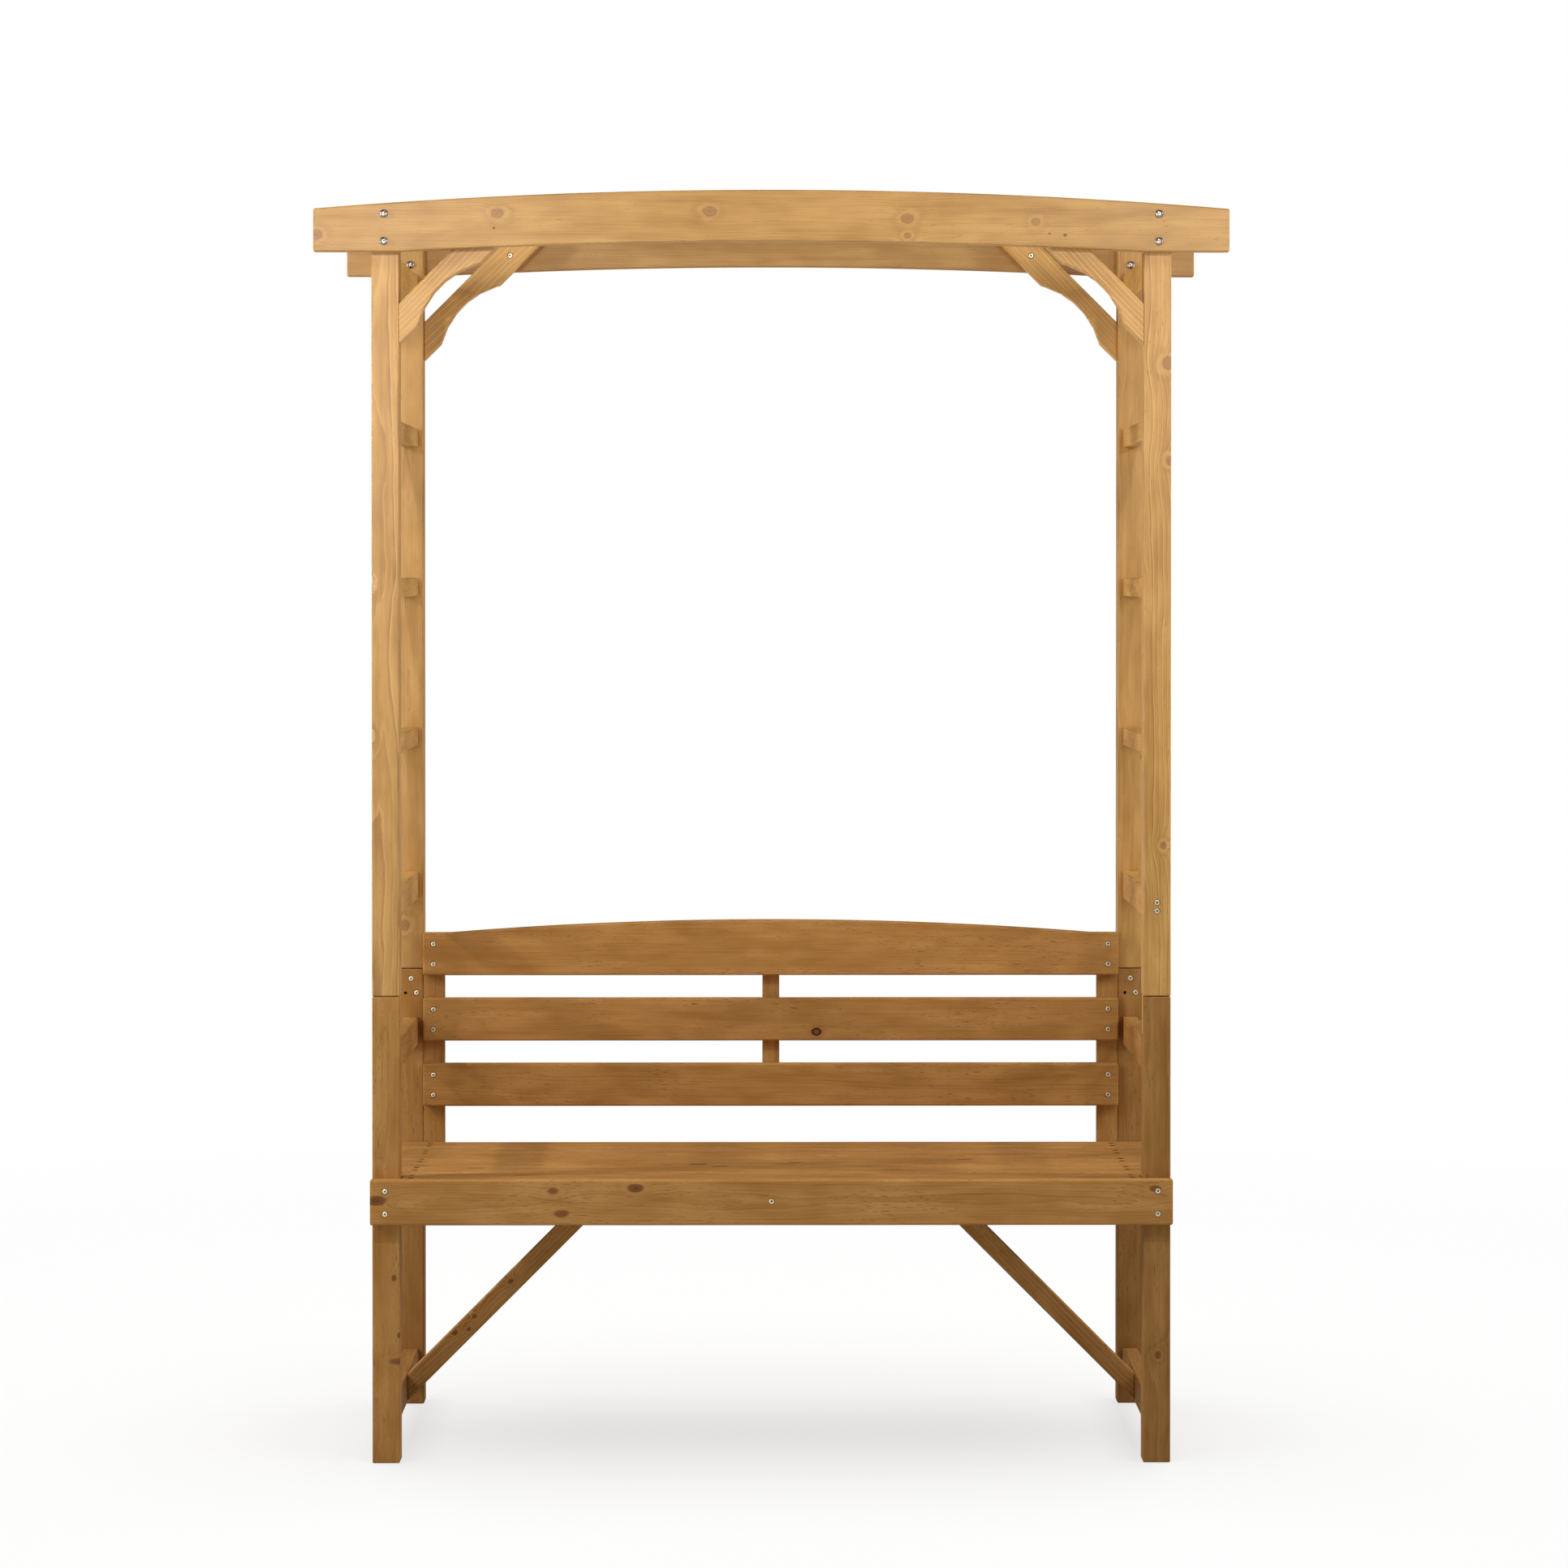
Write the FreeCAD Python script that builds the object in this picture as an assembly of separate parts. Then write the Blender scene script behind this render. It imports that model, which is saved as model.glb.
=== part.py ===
import FreeCAD, Part
import math
import os

# Arbour seat: a slatted garden bench between two ladder sides, under two arched cross beams.
# Millimetres, +X right and -Y front as seen from the front, +Z up, origin on the ground in the middle.

# Posts and side frames
post_side = 42.0
frame_width = 1226.0
frame_depth = 518.0
joint_height = 717.0
post_top_drop = 1.5
tongue_length = 60.0
tongue_thickness = 14.0
fit_gap = 0.3
board_ease = 1.5

# Cross beams
beam_length = 1400.0
beam_thickness = 20.0
beam_underside = 1858.0
beam_end_depth = 66.0
beam_top_rise = 29.0
beam_under_rise = 16.0

# Ladder rails and rungs of the two sides
rail_thickness = 25.0
rail_depth = 45.0
rung_depth = 30.0
stretcher_height = 68.5
arm_drop = 101.5
ladder_foot_rise = 138.0
ladder_top_gap = 0.5
rung_count = 3
tenon_length = 12.0
tenon_thickness = 15.0
tenon_shoulder = 5.0

# Corner brackets
bracket_width = 45.0
bracket_thickness = 25.0
bracket_drop = 141.0
bracket_lap = 62.0
bracket_shoulder = 28.0
bracket_arch_run = 97.0
bracket_arch_depth = 19.0

# Seat
seat_height = 436.0
seat_board = 18.0
edge_slat_width = 75.0
inner_slat_width = 92.0
inner_slat_count = 3
seat_gap = 5.0
notch_gap = 2.0
side_bearer_width = 30.0
side_bearer_depth = 45.0
flat_bearer_width = 45.0
flat_bearer_depth = 25.0

# Apron and rear rail
apron_depth = 70.0
apron_thickness = 20.0
apron_overhang = 2.0
apron_proud = 2.5
rear_rail_depth = 70.0
rear_rail_thickness = 20.0

# Backrest
back_foot_rise = 57.0
back_slat_width = 70.0
back_slat_thickness = 20.0
back_slat_gap = 37.5
back_slat_count = 3
back_arch_rise = 21.0
back_arch_land = 46.0
side_batten_width = 34.0
centre_batten_width = 28.0
batten_thickness = 22.0
batten_top_drop = 5.0
centre_batten_inset = 10.0

# Braces under the seat
brace_width = 30.0
brace_thickness = 25.0
brace_angle = 45.0

# Countersunk wood screws
screw_head_diameter = 8.0
screw_shank_diameter = 4.0
screw_sink = 0.3
screw_gap = 0.2
screw_clear = 1.0
screw_sides = 6
ladder_screw = 70.0
long_screw = 55.0
middle_screw = 40.0
short_screw = 35.0
joint_screw_drop = 16.0
joint_screw_pitch = 23.5
joint_screw_spread = 18.0
rail_screw_pitch = 13.0
apron_screw_pitch = 35.0
back_screw_pitch = 33.0
seat_screw_pitch = 30.0
bearer_screw_pitch = 20.0
bracket_screw_run = 142.0
leg_screw_inset = 11.0
batten_screw_inset = 30.0

# Sleeve bolts with domed heads and cap nuts
bolt_dome_diameter = 13.0
bolt_dome_height = 4.0
bolt_shank_diameter = 6.0
nut_sleeve_diameter = 9.0
nut_sleeve_length = 18.0
nut_floor = 5.0
bolt_sides = 8
bolt_pitch = 42.0

# Places that follow from the sizes above
outer_x = frame_width / 2
inner_x = outer_x - post_side
post_x = outer_x - post_side / 2
outer_y = frame_depth / 2
inner_y = outer_y - post_side
post_y = outer_y - post_side / 2
rail_inner_x = post_x - rail_thickness / 2
arm_height = joint_height - arm_drop
ladder_foot_height = joint_height + ladder_foot_rise
ladder_top_height = beam_underside - ladder_top_gap - rail_depth / 2
rung_pitch = (ladder_top_height - ladder_foot_height) / (rung_count + 1)
seat_under = seat_height - seat_board
apron_centre = seat_height + apron_proud - apron_depth / 2
side_bearer_x = inner_x - side_bearer_width / 2
side_batten_x = inner_x - side_batten_width / 2
back_foot_height = seat_height + back_foot_rise
back_pitch = back_slat_width + back_slat_gap
back_top = back_foot_height + back_pitch * (back_slat_count - 1) + back_slat_width

SIDES = (("left", -1), ("right", 1))
ENDS = (("front", -1), ("rear", 1))
RIGHT = FreeCAD.Vector(1, 0, 0)
BACK = FreeCAD.Vector(0, 1, 0)
UP = FreeCAD.Vector(0, 0, 1)

pieces = {}
cutters = {}
fasteners = {}


def board(x_range, y_range, z_range, along=None):
    """A straight board with eased edges, or with only the edges that run along one axis eased."""
    low = FreeCAD.Vector(x_range[0], y_range[0], z_range[0])
    size = FreeCAD.Vector(x_range[1], y_range[1], z_range[1]) - low
    solid = Part.makeBox(size.x, size.y, size.z, low)
    edges = solid.Edges
    if along is not None:
        edges = [edge for edge in edges if abs(edge.tangentAt(0).dot(along)) > 0.5]
    return solid.makeChamfer(board_ease, edges)


def span(centre, width):
    """The two ends of a width about its centre."""
    return (centre - width / 2, centre + width / 2)


def outline(front, points, arcs):
    """Closed edges through (x, z) points in the plane of the front.

    Where arcs holds a point's number, the edge that ends there is an arc through the (x, z) it gives.
    """
    def place(point):
        return FreeCAD.Vector(point[0], front, point[1])

    edges = []
    for number, point in enumerate(points):
        start, stop = place(points[number - 1]), place(point)
        if number in arcs:
            edges.append(Part.Arc(start, place(arcs[number]), stop).toShape())
        else:
            edges.append(Part.makeLine(start, stop))
    return edges


def sawn_board(front, thickness, points, arcs=None):
    """A board sawn to an outline in the plane of the front, with the rims of its two faces eased."""
    face = Part.Face(Part.Wire(outline(front, points, arcs or {})))
    solid = face.extrude(BACK * thickness)
    back = front + thickness
    rims = [edge for edge in solid.Edges
            if all(abs(vertex.Y - front) < 0.01 for vertex in edge.Vertexes)
            or all(abs(vertex.Y - back) < 0.01 for vertex in edge.Vertexes)]
    return solid.makeChamfer(board_ease, rims)


def turned(points, sides):
    """A many-sided solid turned about +Z from (radius, height) points that start and end on the axis."""
    def ring(radius, height):
        turns = [2 * math.pi * (step + 0.5) / sides for step in range(sides)]
        return [FreeCAD.Vector(radius * math.cos(turn), radius * math.sin(turn), height) for turn in turns]

    faces = []
    for (radius, height), (next_radius, next_height) in zip(points, points[1:]):
        near, far = ring(radius, height), ring(next_radius, next_height)
        if radius == 0:
            loops = [far]
        elif next_radius == 0:
            loops = [near]
        else:
            loops = [[near[step - 1], near[step], far[step], far[step - 1]] for step in range(sides)]
        faces += [Part.Face(Part.makePolygon(loop + loop[:1])) for loop in loops]
    solid = Part.Solid(Part.Shell(faces))
    if solid.Volume < 0:
        solid.reverse()
    return solid


def aimed(solid, point, direction):
    """Stand a solid that was made along +Z on a point, with +Z turned to a direction."""
    placed = solid.copy()
    placed.Placement = FreeCAD.Placement(FreeCAD.Vector(*point), FreeCAD.Rotation(UP, direction))
    return placed


def add_cutter(names, tool):
    """Keep a cutting tool for each of the named pieces."""
    for name in names:
        cutters.setdefault(name, []).append(tool)


def screw(group, names, point, outward, length, recess=0.0):
    """Drive one countersunk screw into the named pieces, in a bore that its head seats in."""
    head, shank = screw_head_diameter / 2, screw_shank_diameter / 2
    top = -screw_sink - recess
    seat, tip = top - (head - shank), top - length
    solid = turned([(0, top), (head, top), (shank, seat), (shank, tip), (0, tip)], screw_sides)
    fasteners.setdefault(group, []).append(aimed(solid, point, outward))

    bore = shank + screw_gap
    mouth = [(0, screw_clear), (head + screw_clear - top, screw_clear)]
    if recess:
        mouth = [(0, screw_clear + recess), (head, screw_clear + recess), (head, top)]
    tool = turned(mouth + [(bore, seat + screw_gap), (bore, tip - screw_gap), (0, tip - screw_gap)],
                  screw_sides)
    add_cutter(names, aimed(tool, point, outward))


def sleeve_bolt(names, point, outward, grip):
    """Fit one domed sleeve bolt from a point inwards, with its cap nut on the far side of the grip."""
    rim, crown = bolt_dome_diameter / 2, bolt_dome_height
    shank, sleeve = bolt_shank_diameter / 2, nut_sleeve_diameter / 2
    dome = [(0, crown), (rim * 0.6, crown), (rim, crown * 0.3), (rim, 0)]
    far = FreeCAD.Vector(*point) - outward * grip
    reach = grip - nut_floor - screw_clear

    bolt = turned(dome + [(shank, 0), (shank, -reach), (0, -reach)], bolt_sides)
    nut = turned(dome + [(sleeve, 0), (sleeve, -nut_sleeve_length), (shank + screw_gap, -nut_sleeve_length),
                         (shank + screw_gap, -nut_floor), (0, -nut_floor)], bolt_sides)
    fasteners.setdefault("beam_bolts", []).append(aimed(bolt, point, outward))
    fasteners.setdefault("beam_cap_nuts", []).append(aimed(nut, far, -outward))

    bores = ((shank, point, grip, outward), (sleeve, far, nut_sleeve_length, -outward))
    for radius, start, depth, way in bores:
        bore, end = radius + screw_gap, -depth - screw_clear
        tool = turned([(0, screw_clear), (bore, screw_clear), (bore, end), (0, end)], bolt_sides)
        add_cutter(names, aimed(tool, start, way))


def beam_top(x):
    """Height of a cross beam's arched top edge at a distance from the middle."""
    half = beam_length / 2
    radius = (half ** 2 + beam_top_rise ** 2) / (2 * beam_top_rise)
    crown = beam_underside + beam_end_depth + beam_top_rise
    return crown - radius + math.sqrt(radius ** 2 - x ** 2)


def make_posts():
    """Four posts, each a lower leg and an upper post that meet in a bridle joint."""
    post_top = beam_top(outer_x) - post_top_drop
    for end, back in ENDS:
        for side, hand in SIDES:
            leg, post = f"{end}_{side}_lower_leg", f"{end}_{side}_upper_post"
            x_range, y_range = span(hand * post_x, post_side), span(back * post_y, post_side)
            tongue_foot = joint_height - tongue_length
            tongue_front = back * post_y - tongue_thickness / 2
            slot = Part.makeBox(2 * post_side, tongue_thickness + 2 * fit_gap, tongue_length + fit_gap + 1,
                                FreeCAD.Vector(hand * post_x - post_side, tongue_front - fit_gap,
                                               tongue_foot - fit_gap))
            pieces[leg] = board(x_range, y_range, (0, joint_height)).cut(slot)
            tongue = Part.makeBox(post_side, tongue_thickness, tongue_length + board_ease,
                                  FreeCAD.Vector(x_range[0], tongue_front, tongue_foot))
            body = board(x_range, y_range, (joint_height, post_top))
            pieces[post] = body.fuse(tongue).removeSplitter()
            pin_joint(leg, post, hand, back)


def pin_joint(leg, post, hand, back):
    """Two screws and one open hole through a bridle joint, on the face that looks into the seat."""
    face = back * inner_y
    outward = BACK * -back
    upper, lower = joint_height - joint_screw_drop, joint_height - joint_screw_drop - joint_screw_pitch
    screw("post_joint_screws", (leg, post), (hand * post_x, face, upper), outward, short_screw)
    screw("post_joint_screws", (leg, post), (hand * post_x + joint_screw_spread / 2, face, lower), outward,
          short_screw)
    shank = screw_shank_diameter / 2
    hole = turned([(0, screw_clear), (shank, screw_clear), (shank, -short_screw), (0, -short_screw)],
                  screw_sides)
    add_cutter((leg, post), aimed(hole, (hand * post_x - joint_screw_spread / 2, face, lower), outward))


def ladder_levels():
    """Name, middle height, depth and holding piece of every rail and rung of one side."""
    levels = [("lower_stretcher", stretcher_height, rail_depth, "lower_leg"),
              ("arm_rail", arm_height, rail_depth, "lower_leg"),
              ("ladder_foot_rail", ladder_foot_height, rail_depth, "upper_post")]
    for step in range(1, rung_count + 1):
        height = ladder_foot_height + step * rung_pitch
        levels.append((f"ladder_rung_{step}", height, rung_depth, "upper_post"))
    levels.append(("ladder_top_rail", ladder_top_height, rail_depth, "upper_post"))
    return levels


def make_ladder_sides():
    """Rails and rungs between the front and rear posts, held by stub tenons."""
    for side, hand in SIDES:
        for name, height, depth, holder in ladder_levels():
            body = board(span(hand * post_x, rail_thickness), (-inner_y, inner_y), span(height, depth), BACK)
            tenon_depth = depth - 2 * tenon_shoulder
            tenon = Part.makeBox(tenon_thickness, 2 * (inner_y + tenon_length), tenon_depth,
                                 FreeCAD.Vector(hand * post_x - tenon_thickness / 2, -inner_y - tenon_length,
                                                height - tenon_depth / 2))
            pieces[f"{side}_{name}"] = body.fuse(tenon).removeSplitter()
            mortise = Part.makeBox(tenon_thickness + 2 * fit_gap, 2 * (inner_y + tenon_length + fit_gap),
                                   tenon_depth + 2 * fit_gap,
                                   FreeCAD.Vector(hand * post_x - tenon_thickness / 2 - fit_gap,
                                                  -inner_y - tenon_length - fit_gap,
                                                  height - tenon_depth / 2 - fit_gap))
            add_cutter([f"{end}_{side}_{holder}" for end, _ in ENDS], mortise)
        end, back = ENDS[0] if hand > 0 else ENDS[1]
        for offset in span(0, rail_screw_pitch):
            screw("ladder_screws", (f"{end}_{side}_upper_post", f"{side}_ladder_foot_rail"),
                  (hand * post_x, back * outer_y, ladder_foot_height + offset), BACK * back, ladder_screw)


def make_beams():
    """Two arched cross beams, bolted to the outside of the front and rear posts."""
    half, top = beam_length / 2, beam_underside + beam_end_depth
    for end, back in ENDS:
        front = -outer_y - beam_thickness if back < 0 else outer_y
        points = [(-half, beam_underside), (-inner_x, beam_underside), (inner_x, beam_underside),
                  (half, beam_underside), (half, top), (-half, top)]
        arcs = {2: (0, beam_underside + beam_under_rise), 5: (0, top + beam_top_rise)}
        pieces[f"{end}_cross_beam"] = sawn_board(front, beam_thickness, points, arcs)
        for side, hand in SIDES:
            for height in span((beam_underside + beam_top(post_x)) / 2, bolt_pitch):
                sleeve_bolt((f"{end}_cross_beam", f"{end}_{side}_upper_post"),
                            (hand * post_x, back * (outer_y + beam_thickness), height),
                            BACK * back, beam_thickness + post_side)


def bracket_point(hand, run, rise):
    """A point of a corner bracket, measured inwards from its post and upwards from its lower tip."""
    return (hand * (inner_x - run), beam_underside - bracket_drop + rise)


def make_brackets():
    """Four sawn corner brackets at 45 degrees, with a hollow between two straight shoulders."""
    top = bracket_drop + bracket_lap
    cut = bracket_width * math.sqrt(2)
    start, stop = bracket_shoulder, bracket_shoulder + bracket_arch_run
    middle, dip = (start + stop) / 2, bracket_arch_depth / math.sqrt(2)
    corners = ((0, 0), (start, start), (stop, stop), (top, top), (top - cut, top), (0, cut))
    for end, back in ENDS:
        front = -outer_y if back < 0 else outer_y - bracket_thickness
        for side, hand in SIDES:
            name = f"{end}_{side}_corner_bracket"
            points = [bracket_point(hand, run, rise) for run, rise in corners]
            arcs = {2: bracket_point(hand, middle - dip, middle + dip)}
            pieces[name] = sawn_board(front, bracket_thickness, points, arcs)
            x, z = bracket_point(hand, bracket_screw_run, bracket_screw_run + cut / 2)
            inside = back * (outer_y - bracket_thickness)
            screw("bracket_screws", (name, f"{end}_cross_beam"), (x, inside, z), BACK * -back, middle_screw)


def make_seat():
    """Five slats across the bench, the front one notched round the front posts."""
    front = -outer_y
    widths = [edge_slat_width] + [inner_slat_width] * inner_slat_count + [edge_slat_width]
    for number, width in enumerate(widths, start=1):
        name = f"seat_slat_{number}"
        pieces[name] = board((-outer_x, outer_x), (front, front + width), (seat_under, seat_height))
        middle = front + width / 2
        for side, hand in SIDES:
            for offset in span(0, seat_screw_pitch):
                screw("seat_screws", (name, f"{side}_seat_bearer"),
                      (hand * side_bearer_x, middle + offset, seat_height), UP, middle_screw)
        screw("bearer_screws", ("centre_seat_bearer", name), (0, middle, seat_under - flat_bearer_depth), -UP,
              short_screw)
        front += width + seat_gap
    for side, hand in SIDES:
        notch = Part.makeBox(post_side + 2 * notch_gap, post_side + 2 * notch_gap, 2 * seat_board,
                             FreeCAD.Vector(hand * post_x - post_side / 2 - notch_gap,
                                            -outer_y - notch_gap, seat_under - seat_board / 2))
        add_cutter(["seat_slat_1"], notch)


def flat_bearers():
    """Name and place of the three flat bearers under the slats."""
    return (("left_brace_bearer", -brace_bearer_x()), ("centre_seat_bearer", 0),
            ("right_brace_bearer", brace_bearer_x()))


def make_seat_frame():
    """Bearers under the slats, and the front apron and rear rail that close the seat frame."""
    depth = (-outer_y, outer_y - rear_rail_thickness)
    face = -outer_y - apron_thickness
    half = outer_x + apron_overhang
    bearer_middle, flat_middle = seat_under - side_bearer_depth / 2, seat_under - flat_bearer_depth / 2
    pieces["seat_apron"] = board((-half, half), (face, -outer_y), span(apron_centre, apron_depth))
    pieces["rear_seat_rail"] = board((-inner_x, inner_x), (outer_y - rear_rail_thickness, outer_y),
                                     (seat_under - rear_rail_depth, seat_under), RIGHT)
    for side, hand in SIDES:
        name = f"{side}_seat_bearer"
        pieces[name] = board(span(hand * side_bearer_x, side_bearer_width), depth,
                             span(bearer_middle, side_bearer_depth), BACK)
        for end, back in ENDS:
            screw("leg_screws", (name, f"{end}_{side}_lower_leg"),
                  (hand * (inner_x - side_bearer_width), back * (inner_y + leg_screw_inset), bearer_middle),
                  RIGHT * -hand, long_screw)
        for offset in span(0, apron_screw_pitch):
            screw("seat_frame_screws", ("seat_apron", f"front_{side}_lower_leg"),
                  (hand * post_x, face, apron_centre + offset), -BACK, middle_screw)
        for offset in span(0, bearer_screw_pitch):
            screw("seat_frame_screws", ("rear_seat_rail", name),
                  (hand * side_bearer_x, outer_y, bearer_middle + offset), BACK, middle_screw)
    screw("seat_frame_screws", ("seat_apron", "centre_seat_bearer"), (0, face, flat_middle), -BACK,
          middle_screw)
    for name, x in flat_bearers():
        pieces[name] = board(span(x, flat_bearer_width), depth, span(flat_middle, flat_bearer_depth), BACK)
        screw("seat_frame_screws", ("rear_seat_rail", name), (x, outer_y, flat_middle), BACK, middle_screw)


def make_back():
    """Three back slats, the top one arched, on battens that stand beside the rear posts."""
    front = inner_y - back_slat_thickness
    names = ("lower_back_slat", "middle_back_slat", "top_back_slat")
    batten_top = back_top - batten_top_drop
    for side, hand in SIDES:
        name = f"{side}_back_batten"
        pieces[name] = board(span(hand * side_batten_x, side_batten_width),
                             (inner_y, inner_y + batten_thickness), (seat_under, batten_top), UP)
        for height in (seat_under + batten_screw_inset, arm_height - rail_depth / 2 - batten_screw_inset):
            screw("leg_screws", (name, f"rear_{side}_lower_leg"),
                  (hand * (inner_x - side_batten_width), inner_y + batten_thickness / 2, height),
                  RIGHT * -hand, long_screw)
    pieces["centre_back_batten"] = board(span(0, centre_batten_width), (inner_y, inner_y + batten_thickness),
                                         (back_foot_height + centre_batten_inset, batten_top), UP)
    for number, name in enumerate(names):
        low = back_foot_height + number * back_pitch
        high = low + back_slat_width
        if number < len(names) - 1:
            pieces[name] = board((-inner_x, inner_x), (front, inner_y), (low, high))
        else:
            land = inner_x - back_arch_land
            points = [(-inner_x, low), (inner_x, low), (inner_x, high), (land, high), (-land, high),
                      (-inner_x, high)]
            pieces[name] = sawn_board(front, back_slat_thickness, points, {4: (0, high + back_arch_rise)})
        for offset in span(0, back_screw_pitch):
            height = (low + high) / 2 + offset
            for side, hand in SIDES:
                screw("back_slat_screws", (name, f"{side}_back_batten"),
                      (hand * side_batten_x, front, height), -BACK, short_screw)
            screw("back_slat_screws", ("centre_back_batten", name), (0, inner_y + batten_thickness, height),
                  BACK, short_screw)


def brace_cut():
    """Length of a brace's upright cut, where it meets the lower stretcher."""
    return brace_width / math.cos(math.radians(brace_angle))


def brace_run(height):
    """How far a brace has leaned inwards when it has climbed by a height."""
    return height / math.tan(math.radians(brace_angle))


def brace_levels():
    """Heights of a brace's foot, of the top of its upright cut and of its level cut."""
    top_of_cut = stretcher_height + rail_depth / 2
    return top_of_cut - brace_cut(), top_of_cut, seat_under - flat_bearer_depth


def brace_bearer_x():
    """Middle of the level cut on top of a brace, where its bearer lies."""
    foot, top_of_cut, head = brace_levels()
    return rail_inner_x - (brace_run(head - foot) + brace_run(head - top_of_cut)) / 2


def make_braces():
    """Two slanted braces from the lower stretchers to the bearers under the seat."""
    foot, top_of_cut, head = brace_levels()
    front = -brace_thickness / 2
    for side, hand in SIDES:
        name = f"{side}_seat_brace"
        points = [(hand * rail_inner_x, foot), (hand * (rail_inner_x - brace_run(head - foot)), head),
                  (hand * (rail_inner_x - brace_run(head - top_of_cut)), head),
                  (hand * rail_inner_x, top_of_cut)]
        pieces[name] = sawn_board(front, brace_thickness, points)
        low, sunk = (foot + top_of_cut) / 2, screw_head_diameter / 2
        screw("brace_screws", (name, f"{side}_lower_stretcher"),
              (hand * (rail_inner_x - brace_run(low - foot)), 0, low), RIGHT * -hand, short_screw, sunk)
        x = brace_bearer_x()
        screw("brace_screws", (name, f"{side}_brace_bearer"),
              (hand * x, 0, foot + (rail_inner_x - x) * math.tan(math.radians(brace_angle))), -UP,
              short_screw, sunk)


def export():
    """Cut every hole, then write each piece and each group of fasteners to its own file."""
    os.makedirs("parts", exist_ok=True)
    for name, solid in pieces.items():
        for tool in cutters.get(name, []):
            solid = solid.cut(tool)
        solid.exportStep(f"parts/{name}.step")
    for name, solids in fasteners.items():
        Part.makeCompound(solids).exportStep(f"parts/{name}.step")
    print(f"{len(pieces)} pieces, {len(fasteners)} groups of fasteners")


make_posts()
make_ladder_sides()
make_beams()
make_brackets()
make_seat_frame()
make_seat()
make_back()
make_braces()
export()
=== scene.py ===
"""Arbour seat: a slatted garden bench between two ladder sides, under two arched cross beams."""

import logging
import math
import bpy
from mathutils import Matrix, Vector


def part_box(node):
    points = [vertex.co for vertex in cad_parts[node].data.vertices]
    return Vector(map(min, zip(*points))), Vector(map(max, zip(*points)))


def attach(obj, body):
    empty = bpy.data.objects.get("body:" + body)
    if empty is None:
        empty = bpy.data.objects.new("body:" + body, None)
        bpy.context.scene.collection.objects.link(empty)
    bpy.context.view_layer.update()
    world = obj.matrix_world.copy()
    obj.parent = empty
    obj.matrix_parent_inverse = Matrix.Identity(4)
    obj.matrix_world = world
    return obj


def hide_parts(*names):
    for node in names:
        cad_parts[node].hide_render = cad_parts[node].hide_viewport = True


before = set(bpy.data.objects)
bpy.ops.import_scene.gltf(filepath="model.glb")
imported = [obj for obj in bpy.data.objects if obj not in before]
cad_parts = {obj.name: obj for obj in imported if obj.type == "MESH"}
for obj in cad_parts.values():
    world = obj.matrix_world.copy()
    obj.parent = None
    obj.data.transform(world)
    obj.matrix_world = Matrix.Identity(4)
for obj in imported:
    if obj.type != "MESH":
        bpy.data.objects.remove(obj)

import zlib
from dataclasses import dataclass, field, replace
from enum import Enum, IntEnum
from typing import Any, Callable, ClassVar, Iterable, Optional, Sequence, Union

import bpy
import numpy as np
from mathutils import Matrix

MM = 0.001
HALF_TURN = math.pi
# name of the point attribute that marks each screw and bolt recess, which the steel material darkens as
# painted shade
RECESS = "recess"

Colour = tuple[float, float, float]
Triple = tuple[float, float, float]

log = logging.getLogger("arbour")


def srgb(red: float, green: float, blue: float) -> Colour:
    """Linear colour of a screen colour.

    Args:
        red: red from 0 to 255.
        green: green from 0 to 255.
        blue: blue from 0 to 255.

    Returns:
        The three parts from 0 to 1, as light.
    """
    parts = np.array([red, green, blue]) / 255.0
    light = np.where(parts <= 0.04045, parts / 12.92, ((parts + 0.055) / 1.055) ** 2.4)
    return tuple(float(part) for part in light)


def seeded(name: str) -> np.random.Generator:
    """The random draws of the piece with this name, the same in every run."""
    return np.random.default_rng(zlib.crc32(name.encode()))


def box_of(name: str) -> tuple[np.ndarray, np.ndarray]:
    """The least and the greatest corner of a CAD node's box, in mm."""
    low, high = (np.array(corner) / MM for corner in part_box(name))
    return low, high


# Shader maths


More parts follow.
